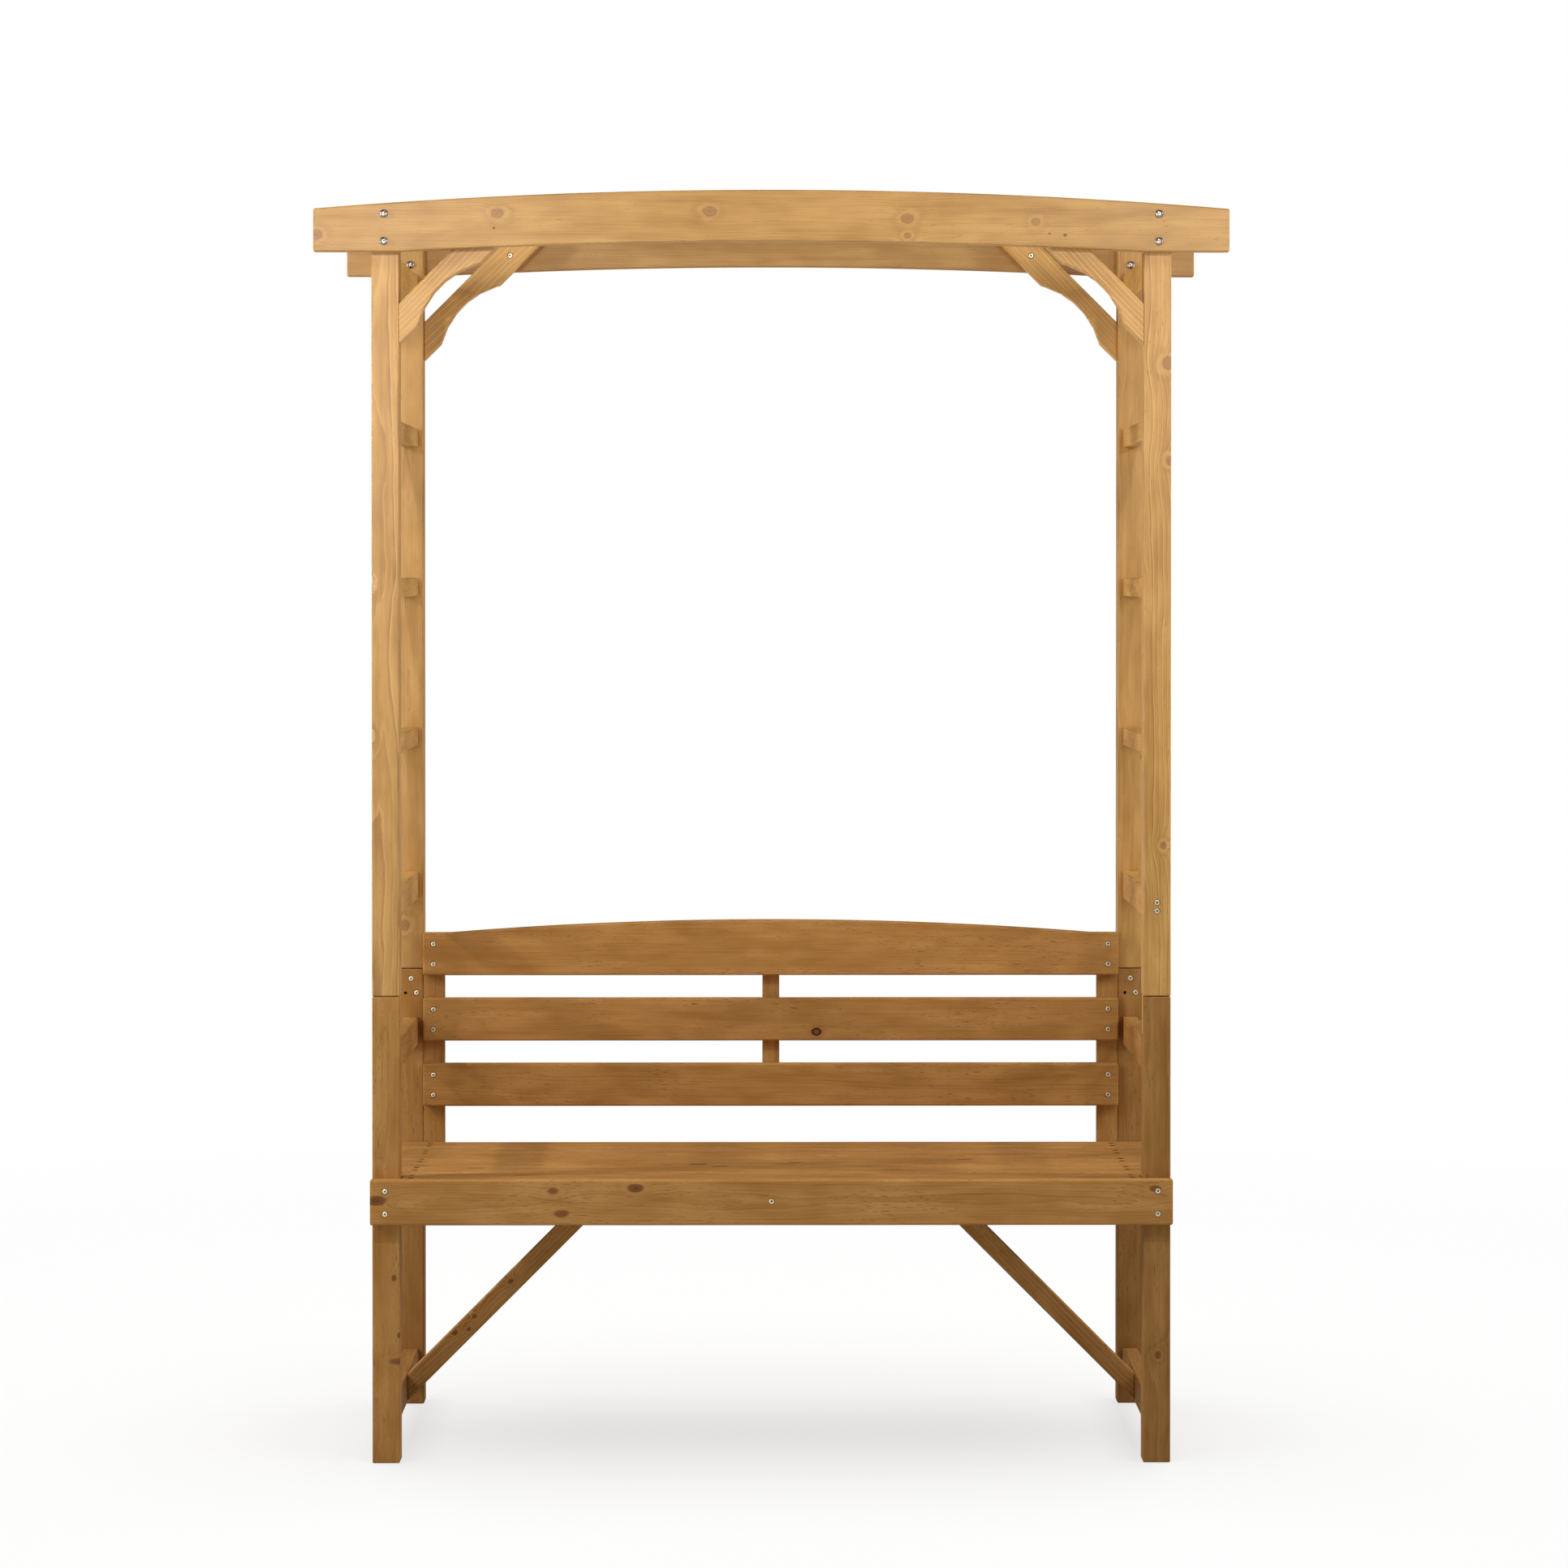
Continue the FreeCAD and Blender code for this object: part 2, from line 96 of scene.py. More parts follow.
class Value:
    """A number that varies over a surface: an output socket whose operators add Math nodes."""

    def __init__(self, graph: "Graph", socket: bpy.types.NodeSocket) -> None:
        """Holds the socket and the graph that its next nodes go to."""
        self.graph = graph
        self.socket = socket

    def _apply(self, operation: str, *terms: "Number") -> "Value":
        """The Math node of that name on these terms."""
        return self.graph.math(operation, *terms)

    def __add__(self, other: "Number") -> "Value":
        """Sum."""
        return self._apply("ADD", self, other)

    __radd__ = __add__

    def __mul__(self, other: "Number") -> "Value":
        """Product."""
        return self._apply("MULTIPLY", self, other)

    __rmul__ = __mul__

    def __sub__(self, other: "Number") -> "Value":
        """Difference."""
        return self._apply("SUBTRACT", self, other)

    def __rsub__(self, other: "Number") -> "Value":
        """Difference with the number first."""
        return self._apply("SUBTRACT", other, self)

    def __truediv__(self, other: "Number") -> "Value":
        """Quotient."""
        return self._apply("DIVIDE", self, other)

    def __rtruediv__(self, other: "Number") -> "Value":
        """Quotient with the number first."""
        return self._apply("DIVIDE", other, self)

    def __abs__(self) -> "Value":
        """Size without sign."""
        return self._apply("ABSOLUTE", self)

    def fraction(self) -> "Value":
        """What is left after the whole number."""
        return self._apply("FRACT", self)

    def least(self, other: "Number") -> "Value":
        """The smaller of two."""
        return self._apply("MINIMUM", self, other)

    def most(self, other: "Number") -> "Value":
        """The larger of two."""
        return self._apply("MAXIMUM", self, other)

    def wave(self) -> "Value":
        """Sine."""
        return self._apply("SINE", self)

    def ramp(self, start: float, stop: float, low: float = 0.0, high: float = 1.0) -> "Value":
        """Smooth step between two levels.

        Args:
            start: value at which the result is low; it may lie above stop.
            stop: value at which the result is high.
            low: result before start.
            high: result after stop.

        Returns:
            The stepped value.
        """
        flip = start > stop
        ends = (stop, start, high, low) if flip else (start, stop, low, high)
        inputs = dict(zip(("From Min", "From Max", "To Min", "To Max"), ends))
        return self.graph.node("ShaderNodeMapRange", {"interpolation_type": "SMOOTHSTEP"},
                               {"Value": self, **inputs}, "Result")


Number = Union[Value, float]


class Field(Value):
    """A vector or colour that varies over a surface: its operators add Vector Math nodes."""

    def _apply(self, operation: str, *terms: Any) -> "Field":
        """The Vector Math node of that name on these terms."""
        return self.graph.vector(operation, *terms)

    def length(self) -> Value:
        """Distance from the origin."""
        return self.graph.node("ShaderNodeVectorMath", {"operation": "LENGTH"}, {"Vector": self},
                               "Value")

    def along(self, direction: Triple) -> Value:
        """Dot product with a direction."""
        return self.graph.node("ShaderNodeVectorMath", {"operation": "DOT_PRODUCT"},
                               {"Vector": self, "Vector_001": direction}, "Value")


class Graph:
    """The node tree of one material or world, with one method that makes every node."""

    def __init__(self, owner: Union[bpy.types.Material, bpy.types.World]) -> None:
        """Empties the owner's node tree."""
        self.owner = owner
        owner.use_nodes = True
        self.tree = owner.node_tree
        self.tree.nodes.clear()

    @classmethod
    def of_material(cls, name: str) -> "Graph":
        """The empty graph of a new material."""
        return cls(bpy.data.materials.new(name))

    @staticmethod
    def _socket(sockets: Any, key: str) -> bpy.types.NodeSocket:
        """The socket with this identifier, or else with this name."""
        exact = [socket for socket in sockets if socket.identifier == key]
        return (exact or [socket for socket in sockets if socket.name == key])[0]

    def node(self, kind: str, settings: dict[str, Any], inputs: dict[str, Any], output: str) -> Any:
        """Makes one node.

        Args:
            kind: Blender's type of the node.
            settings: properties of the node, set before its sockets.
            inputs: socket names with a value, a socket or a held value.
            output: the output that is wanted.

        Returns:
            The output as a Field where it is a vector or colour, a Value where it is a number,
            and the bare socket where it is a shader.
        """
        made = self.tree.nodes.new(kind)
        for name, setting in settings.items():
            setattr(made, name, setting)
        for name, content in inputs.items():
            socket = self._socket(made.inputs, name)
            if isinstance(content, Value):
                self.tree.links.new(content.socket, socket)
            elif isinstance(content, bpy.types.NodeSocket):
                self.tree.links.new(content, socket)
            elif socket.type == "RGBA":
                socket.default_value = (*content, 1.0)
            else:
                socket.default_value = content
        socket = self._socket(made.outputs, output)
        if socket.type == "SHADER":
            return socket
        return (Value if socket.type == "VALUE" else Field)(self, socket)

    def math(self, operation: str, *values: Number) -> Value:
        """A Math node on one to three values."""
        names = ("Value", "Value_001", "Value_002")
        return self.node("ShaderNodeMath", {"operation": operation}, dict(zip(names, values)), "Value")

    def vector(self, operation: str, *values: Any) -> Field:
        """A Vector Math node.

        Args:
            operation: its name.
            values: one to three vectors; a plain number stands for three equal ones.

        Returns:
            The vector.
        """
        names = ("Vector", "Vector_001", "Vector_002")
        full = [(value,) * 3 if isinstance(value, (int, float)) else value for value in values]
        return self.node("ShaderNodeVectorMath", {"operation": operation}, dict(zip(names, full)),
                         "Vector")

    def blend(self, share: Number, first: Any, second: Any) -> Field:
        """Mixes two colours.

        Args:
            share: how much of the second, from 0 to 1.
            first: colour where share is 0.
            second: colour where share is 1.

        Returns:
            The mixed colour.
        """
        return self.node("ShaderNodeMix", {"data_type": "RGBA", "blend_type": "MIX"},
                         {"Factor_Float": share, "A_Color": first, "B_Color": second}, "Result_Color")

    def place(self) -> Field:
        """Where a point lies on the object, in metres."""
        return self.node("ShaderNodeTexCoord", {}, {}, "Object")

    def facing(self) -> Field:
        """The way a surface faces."""
        return self.node("ShaderNodeNewGeometry", {}, {}, "True Normal")

    def ray(self, kind: str) -> Value:
        """One for rays of this kind, nothing for others."""
        return self.node("ShaderNodeLightPath", {}, {}, kind)

    def noise(self, where: Field, detail: float = 2.0, rough: float = 0.5, output: str = "Fac") -> Any:
        """Soft random values about 0.5 that vary over one unit of where.

        Args:
            where: the place, already stretched to the size of the pattern.
            detail: how many finer layers are added.
            rough: strength of each finer layer.
            output: Fac for one number, Color for three.

        Returns:
            The random number or three of them.
        """
        return self.node("ShaderNodeTexNoise", {"noise_dimensions": "3D"},
                         {"Vector": where, "Scale": 1.0, "Detail": detail, "Roughness": rough}, output)

    def mapped(self, where: Field, kind: str, place: Triple, turn: Triple = (0.0, 0.0, 0.0),
               scale: Triple = (1.0, 1.0, 1.0)) -> Field:
        """Changes places by a scale, a turn and a shift.

        Args:
            where: the places.
            kind: POINT applies the change, TEXTURE undoes it.
            place: the shift.
            turn: the turn in radians about X, Y and Z.
            scale: the scale along X, Y and Z.

        Returns:
            The changed places.
        """
        return self.node("ShaderNodeMapping", {"vector_type": kind},
                         {"Vector": where, "Location": place, "Rotation": turn, "Scale": scale},
                         "Vector")

    def relief(self, height: Value) -> Field:
        """The way a surface faces once it is raised by a height in mm."""
        return self.node("ShaderNodeBump", {}, {"Height": height, "Strength": 1.0, "Distance": MM},
                         "Normal")

    def coated(self, looks: dict[str, Any]) -> bpy.types.Material:
        """Ends the material in a Principled shader with these inputs."""
        return self.finish(self.node("ShaderNodeBsdfPrincipled", {}, looks, "BSDF"))

    def finish(self, shader: bpy.types.NodeSocket, kind: str = "ShaderNodeOutputMaterial") -> Any:
        """Joins a shader to a new output of this kind and returns the material or world."""
        made = self.tree.nodes.new(kind)
        self.tree.links.new(shader, made.inputs["Surface"])
        return self.owner


# The photograph's viewpoint


@dataclass(frozen=True)
class Viewpoint:
    """Where the camera stands, in metres, and how a picture 1932 pixels wide lies on the object.

    Attributes:
        place: the camera's place.
        focal: focal length in pixels of the picture.
        side: width and height of the picture in pixels.
        middle_x: pixel column straight ahead of the camera.
        horizon_y: pixel row at the camera's height.
        sensor: width of the sensor in mm.
        lowered: part of the horizon's height above the picture's middle that the lens shift takes.
    """

    place: Triple = (-0.017, -6.829, 1.3575)
    focal: float = 5280.0
    side: float = 1932.0
    middle_x: float = 937.0
    horizon_y: float = 714.0
    sensor: float = 36.0
    lowered: float = 0.10

    def spot(self, column: float, row: float, face_y: float) -> np.ndarray:
        """The place in mm of a picture's pixel on an upright plane.

        It is the camera's place plus the pixel's step from straight ahead, times the plane's distance
        over the focal length.

        Args:
            column: pixel from the left.
            row: pixel from the top.
            face_y: the plane's Y in mm.

        Returns:
            X, Y and Z in mm.
        """
        x, y, z = (1000.0 * part for part in self.place)
        scale = (face_y - y) / self.focal
        right, down = column - self.middle_x, row - self.horizon_y
        return np.array([x + right * scale, face_y, z - down * scale])

    def camera(self) -> None:
        """Makes the camera: most of the downward view is lens shift, the rest is tilt."""
        half = self.side / 2
        data = bpy.data.cameras.new("camera")
        data.sensor_width = self.sensor
        data.lens = self.focal / self.side * self.sensor
        data.shift_y = -self.lowered
        data.clip_end = 100.0
        down = half - self.horizon_y - self.lowered * self.side
        tilt = math.atan2(down, self.focal)
        turn = math.atan2(half - self.middle_x, self.focal)
        camera = bpy.data.objects.new("camera", data)
        camera.location = self.place
        camera.rotation_euler = (HALF_TURN / 2 - tilt, 0.0, -turn)
        bpy.context.scene.collection.objects.link(camera)
        bpy.context.scene.camera = camera


VIEW = Viewpoint()


# Shells: closed surfaces worked out as whole arrays


class Dress(IntEnum):
    """Which of a piece's materials a surface has."""

    FACE = 0
    BORE = 1
    TORN = 2


@dataclass
class Shell:
    """A closed surface.

    Attributes:
        points: places in mm, a row each.
        faces: the point numbers round each face.
        dress: material of its faces.
    """

    points: np.ndarray
    faces: list[list[int]]
    dress: Dress = Dress.FACE

    def mesh(self, name: str) -> bpy.types.Mesh:
        """The shell as a mesh in metres."""
        return joined([self], name)


def joined(shells: Sequence[Shell], name: str) -> bpy.types.Mesh:
    """Puts several shells into one mesh, each shell's faces counted on from the last one's points.

    Args:
        shells: the closed surfaces, in mm.
        name: name of the mesh.

    Returns:
        A mesh in metres, whose faces carry each shell's dress as material number.
    """
    points: list[np.ndarray] = []
    faces: list[list[int]] = []
    dress: list[int] = []
    start = 0
    for shell in shells:
        points.append(shell.points)
        faces += [[number + start for number in face] for face in shell.faces]
        dress += [shell.dress] * len(shell.faces)
        start += len(shell.points)
    mesh = bpy.data.meshes.new(name)
    mesh.from_pydata((np.concatenate(points) * MM).tolist(), [], faces)
    mesh.polygons.foreach_set("material_index", dress)
    mesh.update()
    return mesh


def skin(rows: int, columns: int) -> list[list[int]]:
    """Faces of a closed tube: four-sided between its rings, and one many-sided face at each end.

    Args:
        rows: rings along the tube.
        columns: points round each ring, anticlockwise as seen from the far end.

    Returns:
        Faces that all point outwards.
    """
    row, column = np.meshgrid(np.arange(rows - 1), np.arange(columns), indexing="ij")
    after = (column + 1) % columns
    corners = np.stack([row * columns + column, row * columns + after,
                        (row + 1) * columns + after, (row + 1) * columns + column], axis=-1)
    first = np.arange(columns)[::-1].tolist()
    last = (np.arange(columns) + (rows - 1) * columns).tolist()
    return corners.reshape(-1, 4).tolist() + [first, last]


def turned(radius: np.ndarray, height: np.ndarray, foot: np.ndarray, axis: np.ndarray,
           spin: float = 0.0, dress: Dress = Dress.FACE) -> Shell:
    """A turned form: ring i has radius[i] at height[i] above the foot along the axis.

    A point is foot + height * axis + radius * (cos t * u + sin t * v), with u and v square to the
    axis and t running round the ring, so radius may also vary round it.

    Args:
        radius: rings by points round each, or rings by one, in mm.
        height: the same shape as radius.
        foot: origin in mm.
        axis: unit vector.
        spin: turn about the axis in radians.
        dress: material of its faces.

    Returns:
        The closed shell.
    """
    rows, columns = radius.shape
    angle = np.linspace(0, 2 * HALF_TURN, columns, endpoint=False) + spin
    side = np.array([0.0, 0.0, 1.0]) if abs(axis[2]) < 0.7 else np.array([1.0, 0.0, 0.0])
    u = np.cross(side, axis)
    u /= np.linalg.norm(u)
    v = np.cross(axis, u)
    round_ = np.cos(angle)[:, None] * u + np.sin(angle)[:, None] * v
    points = foot + height[..., None] * axis + radius[..., None] * round_[None]
    return Shell(points.reshape(-1, 3), skin(rows, columns), dress)


def sharpen_borders(mesh: bpy.types.Mesh) -> None:
    """Marks as sharp each edge between two dresses, where a cut meets the board's own face.

    An edge lies on such a border when the least and the greatest material of its faces differ.

    Args:
        mesh: a finished mesh with its materials.
    """
    dress = np.empty(len(mesh.polygons), dtype=int)
    corners = np.empty(len(mesh.polygons), dtype=int)
    edge = np.empty(len(mesh.loops), dtype=int)
    sharp = np.empty(len(mesh.edges), dtype=bool)
    mesh.polygons.foreach_get("material_index", dress)
    mesh.polygons.foreach_get("loop_total", corners)
    mesh.loops.foreach_get("edge_index", edge)
    mesh.edges.foreach_get("use_edge_sharp", sharp)
    least = np.full(len(mesh.edges), len(mesh.materials))
    greatest = np.full(len(mesh.edges), -1)
    np.minimum.at(least, edge, np.repeat(dress, corners))
    np.maximum.at(greatest, edge, np.repeat(dress, corners))
    mesh.edges.foreach_set("use_edge_sharp", sharp | (greatest > least))


def block(low: Iterable[float], high: Iterable[float]) -> Shell:
    """A plain box cutter.

    Args:
        low: its least corner in mm.
        high: its greatest corner.

    Returns:
        The closed shell.
    """
    (x0, y0, z0), (x1, y1, z1) = low, high
    ring = np.array([[x1, y1], [x0, y1], [x0, y0], [x1, y0]])
    points = [np.column_stack([ring, np.full(4, level)]) for level in (z0, z1)]
    return Shell(np.concatenate(points), skin(2, 4))


# Boards


class Grain(Enum):
    """The way a board's length runs."""

    ACROSS = 0
    BACKWARD = 1
    UPRIGHT = 2

    def axes(self) -> np.ndarray:
        """Rows: the unit vectors along the board, across it and through it, right-handed."""
        return np.roll(np.eye(3), -self.value, axis=0)


class KnotKind(Enum):
    """How a knot has dried."""

    SOUND = "sound"
    DEAD = "dead"


@dataclass(frozen=True)
class Knot:
    """A knot where it meets a face.

    Attributes:
        place: X, Y and Z in mm.
        radius: in mm.
        kind: grown in, or loose with a black rim.
        depth: how deep it reaches, in radii.
        length: how long it is along the grain, in radii.
    """

    place: Triple
    radius: float
    kind: KnotKind = KnotKind.SOUND
    depth: float = 8.0
    length: float = 1.25


def seen_knots(spots: Iterable[Triple], face_y: float, **more: Any) -> list[Knot]:
    """Knots where the photograph shows them on an upright face.

    Args:
        spots: pixel column, pixel row and radius in mm of each knot.
        face_y: the face's Y in mm.
        more: other fields of the knots.

    Returns:
        The knots.
    """
    return [Knot(tuple(VIEW.spot(column, row, face_y)), radius, **more)
            for column, row, radius in spots]


@dataclass(frozen=True)
class Stretch:
    """Part of a board between two shoulders or ends, with one section.

    Attributes:
        start: place along the board in mm.
        stop: place where it ends.
        low: lowest place across and through.
        high: highest place across and through.
        arris: radius of its long edges and of its ends.
    """

    start: float
    stop: float
    low: tuple[float, float]
    high: tuple[float, float]
    arris: float


# Changes the section along a board: takes the places along it and its least and greatest places
# across and through it there, and gives both limits back
Bend = Callable[[np.ndarray, np.ndarray, np.ndarray], tuple[np.ndarray, np.ndarray]]


@dataclass
class Board:
    """A sawn board with rounded arrises, carried along its length through one or more stretches.

    A point of the surface is, across and through the board: the middle of the section, plus the
    corner's signs times half the section less the arris, plus the arris radius times the direction
    round the corner. The radius shrinks by a quarter circle towards each end.

    Attributes:
        name: name of the piece.
        nodes: CAD nodes it stands for.
        finish: how it is dressed.
        stretches: from low to high along the board.
        axes: rows along, across and through.
        origin: where the board's own coordinates start, in mm.
        bend: changes the limits of the section along the board.
        skew: start and stop along the board as functions of the place across it.
        knots: knots that show.
        cutters: what is cut from it.
        breaks: places along it where its edge turns a corner.
        figure: how strongly its growth rings show.
        spread: distance between its rings against the finish's own.
        shade: how far its colour is raised or lowered, 1 being its finish's own colour; a stain tone on
            some boards, painted shade or painted light on others.
        quartered: sawn so that its rings show as straight lines on its front face.
        corner_steps: points round each arris.
        end_steps: rings that round each end.
        support: width in mm of the narrow strip beside an arris, which keeps the faces flat.
        pitch: greatest distance between rings along the board, in mm.
        wander: how far in mm a sawn face strays from flat.
        turn_room: half the distance in mm between the two rings at a break.
        waves: how many slow waves the stray is made of.
        wave_lengths: shortest and longest of these waves in mm.
    """

    name: str
    nodes: tuple[str, ...]
    finish: "StainedFir"
    stretches: list[Stretch]
    axes: np.ndarray
    origin: np.ndarray = field(default_factory=lambda: np.zeros(3))
    bend: Optional[Bend] = None
    skew: Optional[Callable[[np.ndarray], tuple[np.ndarray, np.ndarray]]] = None
    knots: list[Knot] = field(default_factory=list)
    cutters: list[Shell] = field(default_factory=list)
    breaks: tuple[float, ...] = ()
    figure: float = 0.40
    spread: float = 1.0
    shade: float = 1.0
    quartered: bool = False

    corner_steps: ClassVar[int] = 4
    end_steps: ClassVar[int] = 4
    support: ClassVar[float] = 0.7
    pitch: ClassVar[float] = 26.0
    wander: ClassVar[float] = 0.12
    turn_room: ClassVar[float] = 0.25
    waves: ClassVar[int] = 3
    wave_lengths: ClassVar[tuple[float, float]] = (140.0, 420.0)

    def _ring(self) -> tuple[np.ndarray, np.ndarray, np.ndarray]:
        """The points round the section, anticlockwise.

        Returns:
            The signs of each point's corner, its direction from the arris's middle, and its slide
            along the face.
        """
        quarter = HALF_TURN / 2
        signs, ways, slides = [], [], []
        for corner, sign in enumerate(((1, 1), (-1, 1), (-1, -1), (1, -1))):
            angle = corner * quarter + np.linspace(0, quarter, self.corner_steps)
            turn = np.concatenate([angle[:1], angle, angle[-1:]])
            slide = np.zeros((len(turn), 2))
            slide[0] = (math.sin(angle[0]), -math.cos(angle[0]))
            slide[-1] = (-math.sin(angle[-1]), math.cos(angle[-1]))
            signs.append(np.tile(sign, (len(turn), 1)))
            ways.append(np.column_stack([np.cos(turn), np.sin(turn)]))
            slides.append(slide)
        return np.concatenate(signs), np.concatenate(ways), np.concatenate(slides)

    def _stations(self, stretch: Stretch) -> tuple[np.ndarray, np.ndarray]:
        """Places along a stretch, closer together where its ends are rounded by a quarter circle.

        Args:
            stretch: the part of the board.

        Returns:
            The places in mm, and how much the arris has shrunk at each.
        """
        turn = np.linspace(0.12, 1.0, self.end_steps) * HALF_TURN / 2
        step = stretch.arris * (1 - np.cos(turn))
        step = step - step[0]
        shrink = stretch.arris * (1 - np.sin(turn))
        inner_start = stretch.start + step[-1] + self.support
        inner_stop = stretch.stop - step[-1] - self.support
        if inner_stop <= inner_start:
            return np.array([stretch.start, stretch.stop]), np.zeros(2)
        count = max(2, int((inner_stop - inner_start) / self.pitch) + 1)
        turns = [place + side for place in self.breaks for side in (-self.turn_room, self.turn_room)
                 if inner_start < place < inner_stop]
        inner = np.sort(np.concatenate([np.linspace(inner_start, inner_stop, count), turns]))
        places = np.concatenate([stretch.start + step, inner, stretch.stop - step[::-1]])
        return places, np.concatenate([shrink, np.zeros(len(inner)), shrink[::-1]])

    def shell(self) -> Shell:
        """The board's surface as one closed shell.

        Each flat face also dips a little: by the wander times one half less half the mean of a few
        slow sine waves along the board, each with its own length and start.

        Returns:
            The shell.
        """
        draw = seeded(self.name)
        signs, ways, slides = self._ring()
        places, shrink, low, high, arris = [], [], [], [], []
        for stretch in self.stretches:
            along, less = self._stations(stretch)
            places.append(along)
            shrink.append(less)
            low.append(np.tile(stretch.low, (len(along), 1)))
            high.append(np.tile(stretch.high, (len(along), 1)))
            arris.append(np.full(len(along), stretch.arris))
        at, less, edge = np.concatenate(places), np.concatenate(shrink), np.concatenate(arris)
        lowest, highest = np.concatenate(low).astype(float), np.concatenate(high).astype(float)
        if self.bend:
            lowest, highest = self.bend(at, lowest, highest)
        middle, half = (lowest + highest) / 2, (highest - lowest) / 2
        core = half[:, None] - edge[:, None, None]
        section = (middle[:, None] + signs * core + ways * (edge - less)[:, None, None]
                   + slides * self.support)
        starts = draw.uniform(0, 2 * HALF_TURN, (self.waves, 2))
        lengths = draw.uniform(*self.wave_lengths, (self.waves, 2))
        sag = sum(np.sin(2 * HALF_TURN * at[:, None] / length + start)
                  for start, length in zip(starts, lengths)) / (2 * self.waves) - 0.5
        section += self.wander * np.sign(ways)[None] * (np.abs(ways) > 0.5)[None] * sag[:, None]
        along = np.repeat(at[:, None], len(ways), axis=1)
        if self.skew:
            first, last = at[0], at[-1]
            start, stop = self.skew(section[..., 0])
            along = start + (stop - start) * (along - first) / (last - first)
        local = np.concatenate([along[..., None], section], axis=-1)
        points = self.origin + local.reshape(-1, 3) @ self.axes
        return Shell(points, skin(len(at), len(ways)))

    def limits(self) -> tuple[np.ndarray, np.ndarray]:
        """The least and the greatest place along, across and through the whole board."""
        low = np.array([self.stretches[0].start, *np.min([s.low for s in self.stretches], axis=0)])
        high = np.array([self.stretches[-1].stop, *np.max([s.high for s in self.stretches], axis=0)])
        return low, high

    def centre(self) -> np.ndarray:
        """The middle of the board in mm."""
        low, high = self.limits()
        return self.origin + (low + high) / 2 @ self.axes

    def half_section(self) -> np.ndarray:
        """Half the width and half the thickness of the last stretch in mm."""
        last = self.stretches[-1]
        return (np.array(last.high) - np.array(last.low)) / 2


def straight(name: str, grain: Grain, finish: "StainedFir", arris: float, **more: Any) -> Board:
    """A board that fills its CAD node's box.

    Args:
        name: name of the node and of the piece.
        grain: the way its length runs.
        finish: how it is dressed.
        arris: radius of its edges in mm.
        more: other fields of the board.

    Returns:
        The board with one stretch.
    """
    low, high = box_of(name)
    axes = grain.axes()
    start, stop = axes @ low, axes @ high
    stretch = Stretch(start[0], stop[0], tuple(start[1:]), tuple(stop[1:]), arris)
    return Board(name, (name,), finish, [stretch], axes, **more)


def arc_rise(place: np.ndarray, half_span: float, rise: float) -> np.ndarray:
    """Height in mm of a circular arc over its chord.

    The radius is half the sum of half_span squared over rise, and rise. The height is the rise less
    the radius plus the root of radius squared less place squared.

    Args:
        place: distance from the middle of the chord.
        half_span: half the chord; the height is nothing there and beyond.
        rise: height in the middle.

    Returns:
        The height at each place.
    """
    radius = (half_span ** 2 + rise ** 2) / (2 * rise)
    inside = np.minimum(np.abs(place), half_span)
    return rise - (radius - np.sqrt(radius ** 2 - inside ** 2))


# Finishes


@dataclass(frozen=True)
class StainedFir:
    """Softwood under a brown stain, with growth rings, fibre, resin dashes and knots.

    Attributes:
        slot: the record's material slot.
        early: colour of the wide pale part of a growth ring.
        late: colour of its narrow dark part.
        knot: colour inside a knot.
        dash: colour of resin dashes and pinholes.
        ring: distance between growth rings in mm.
        gloss: strength of its mirror reflection, 0.5 being plain varnish.
        matt: roughness.
        halo: how strongly a pale ring shows round a knot.
        fleck: how rare resin dashes are, between 0 and 1.
        ragged: how uneven the outline of a knot is.
    """

    slot: str
    early: Colour
    late: Colour
    knot: Colour
    dash: Colour
    ring: float
    gloss: float
    matt: float
    halo: float = 0.32
    fleck: float = 0.70
    ragged: float = 1.0

    def material(self, board: Board) -> bpy.types.Material:
        """The board's own material."""
        return Dressing(self, board).material()

    def torn(self) -> bpy.types.Material:
        """Pale raw fibre where a splinter has come off."""
        return self._raw("torn", (700.0, 700.0, 40.0), (0.35, 0.65), srgb(188, 142, 92),
                         srgb(218, 180, 130), 0.8, 0.1)

    def bore(self) -> bpy.types.Material:
        """Raw wood inside a screw hole, torn by the drill, darkened as painted shade."""
        # painted shade: the hole's walls take the late wood's colour cut to 12 and 38 per cent
        deep, dull = (tuple(share * part for part in self.late) for share in (0.12, 0.38))
        return self._raw("bore", (900.0, 900.0, 900.0), None, deep, dull, 0.9, 0.05)

    def _raw(self, look: str, scale: Triple, steps: Optional[tuple[float, float]], low: Colour,
             high: Colour, matt: float, gloss: float) -> bpy.types.Material:
        """Bare wood, one material for all boards of this finish.

        Args:
            look: what the material's name ends with.
            scale: how fine its pattern is, in patches to the metre.
            steps: where the pattern's step starts and stops, or None for a soft one.
            low: colour of the dark patches.
            high: colour of the pale patches.
            matt: roughness.
            gloss: strength of its mirror reflection.

        Returns:
            The material, made at the first call.
        """
        name = f"{self.slot}_{look}"
        if name in bpy.data.materials:
            return bpy.data.materials[name]
        graph = Graph.of_material(name)
        patches = graph.noise(graph.place() * scale, 2.0, 0.6)
        colour = graph.blend(patches.ramp(*steps) if steps else patches, low, high)
        return graph.coated({"Base Color": colour, "Roughness": matt, "Specular IOR Level": gloss})


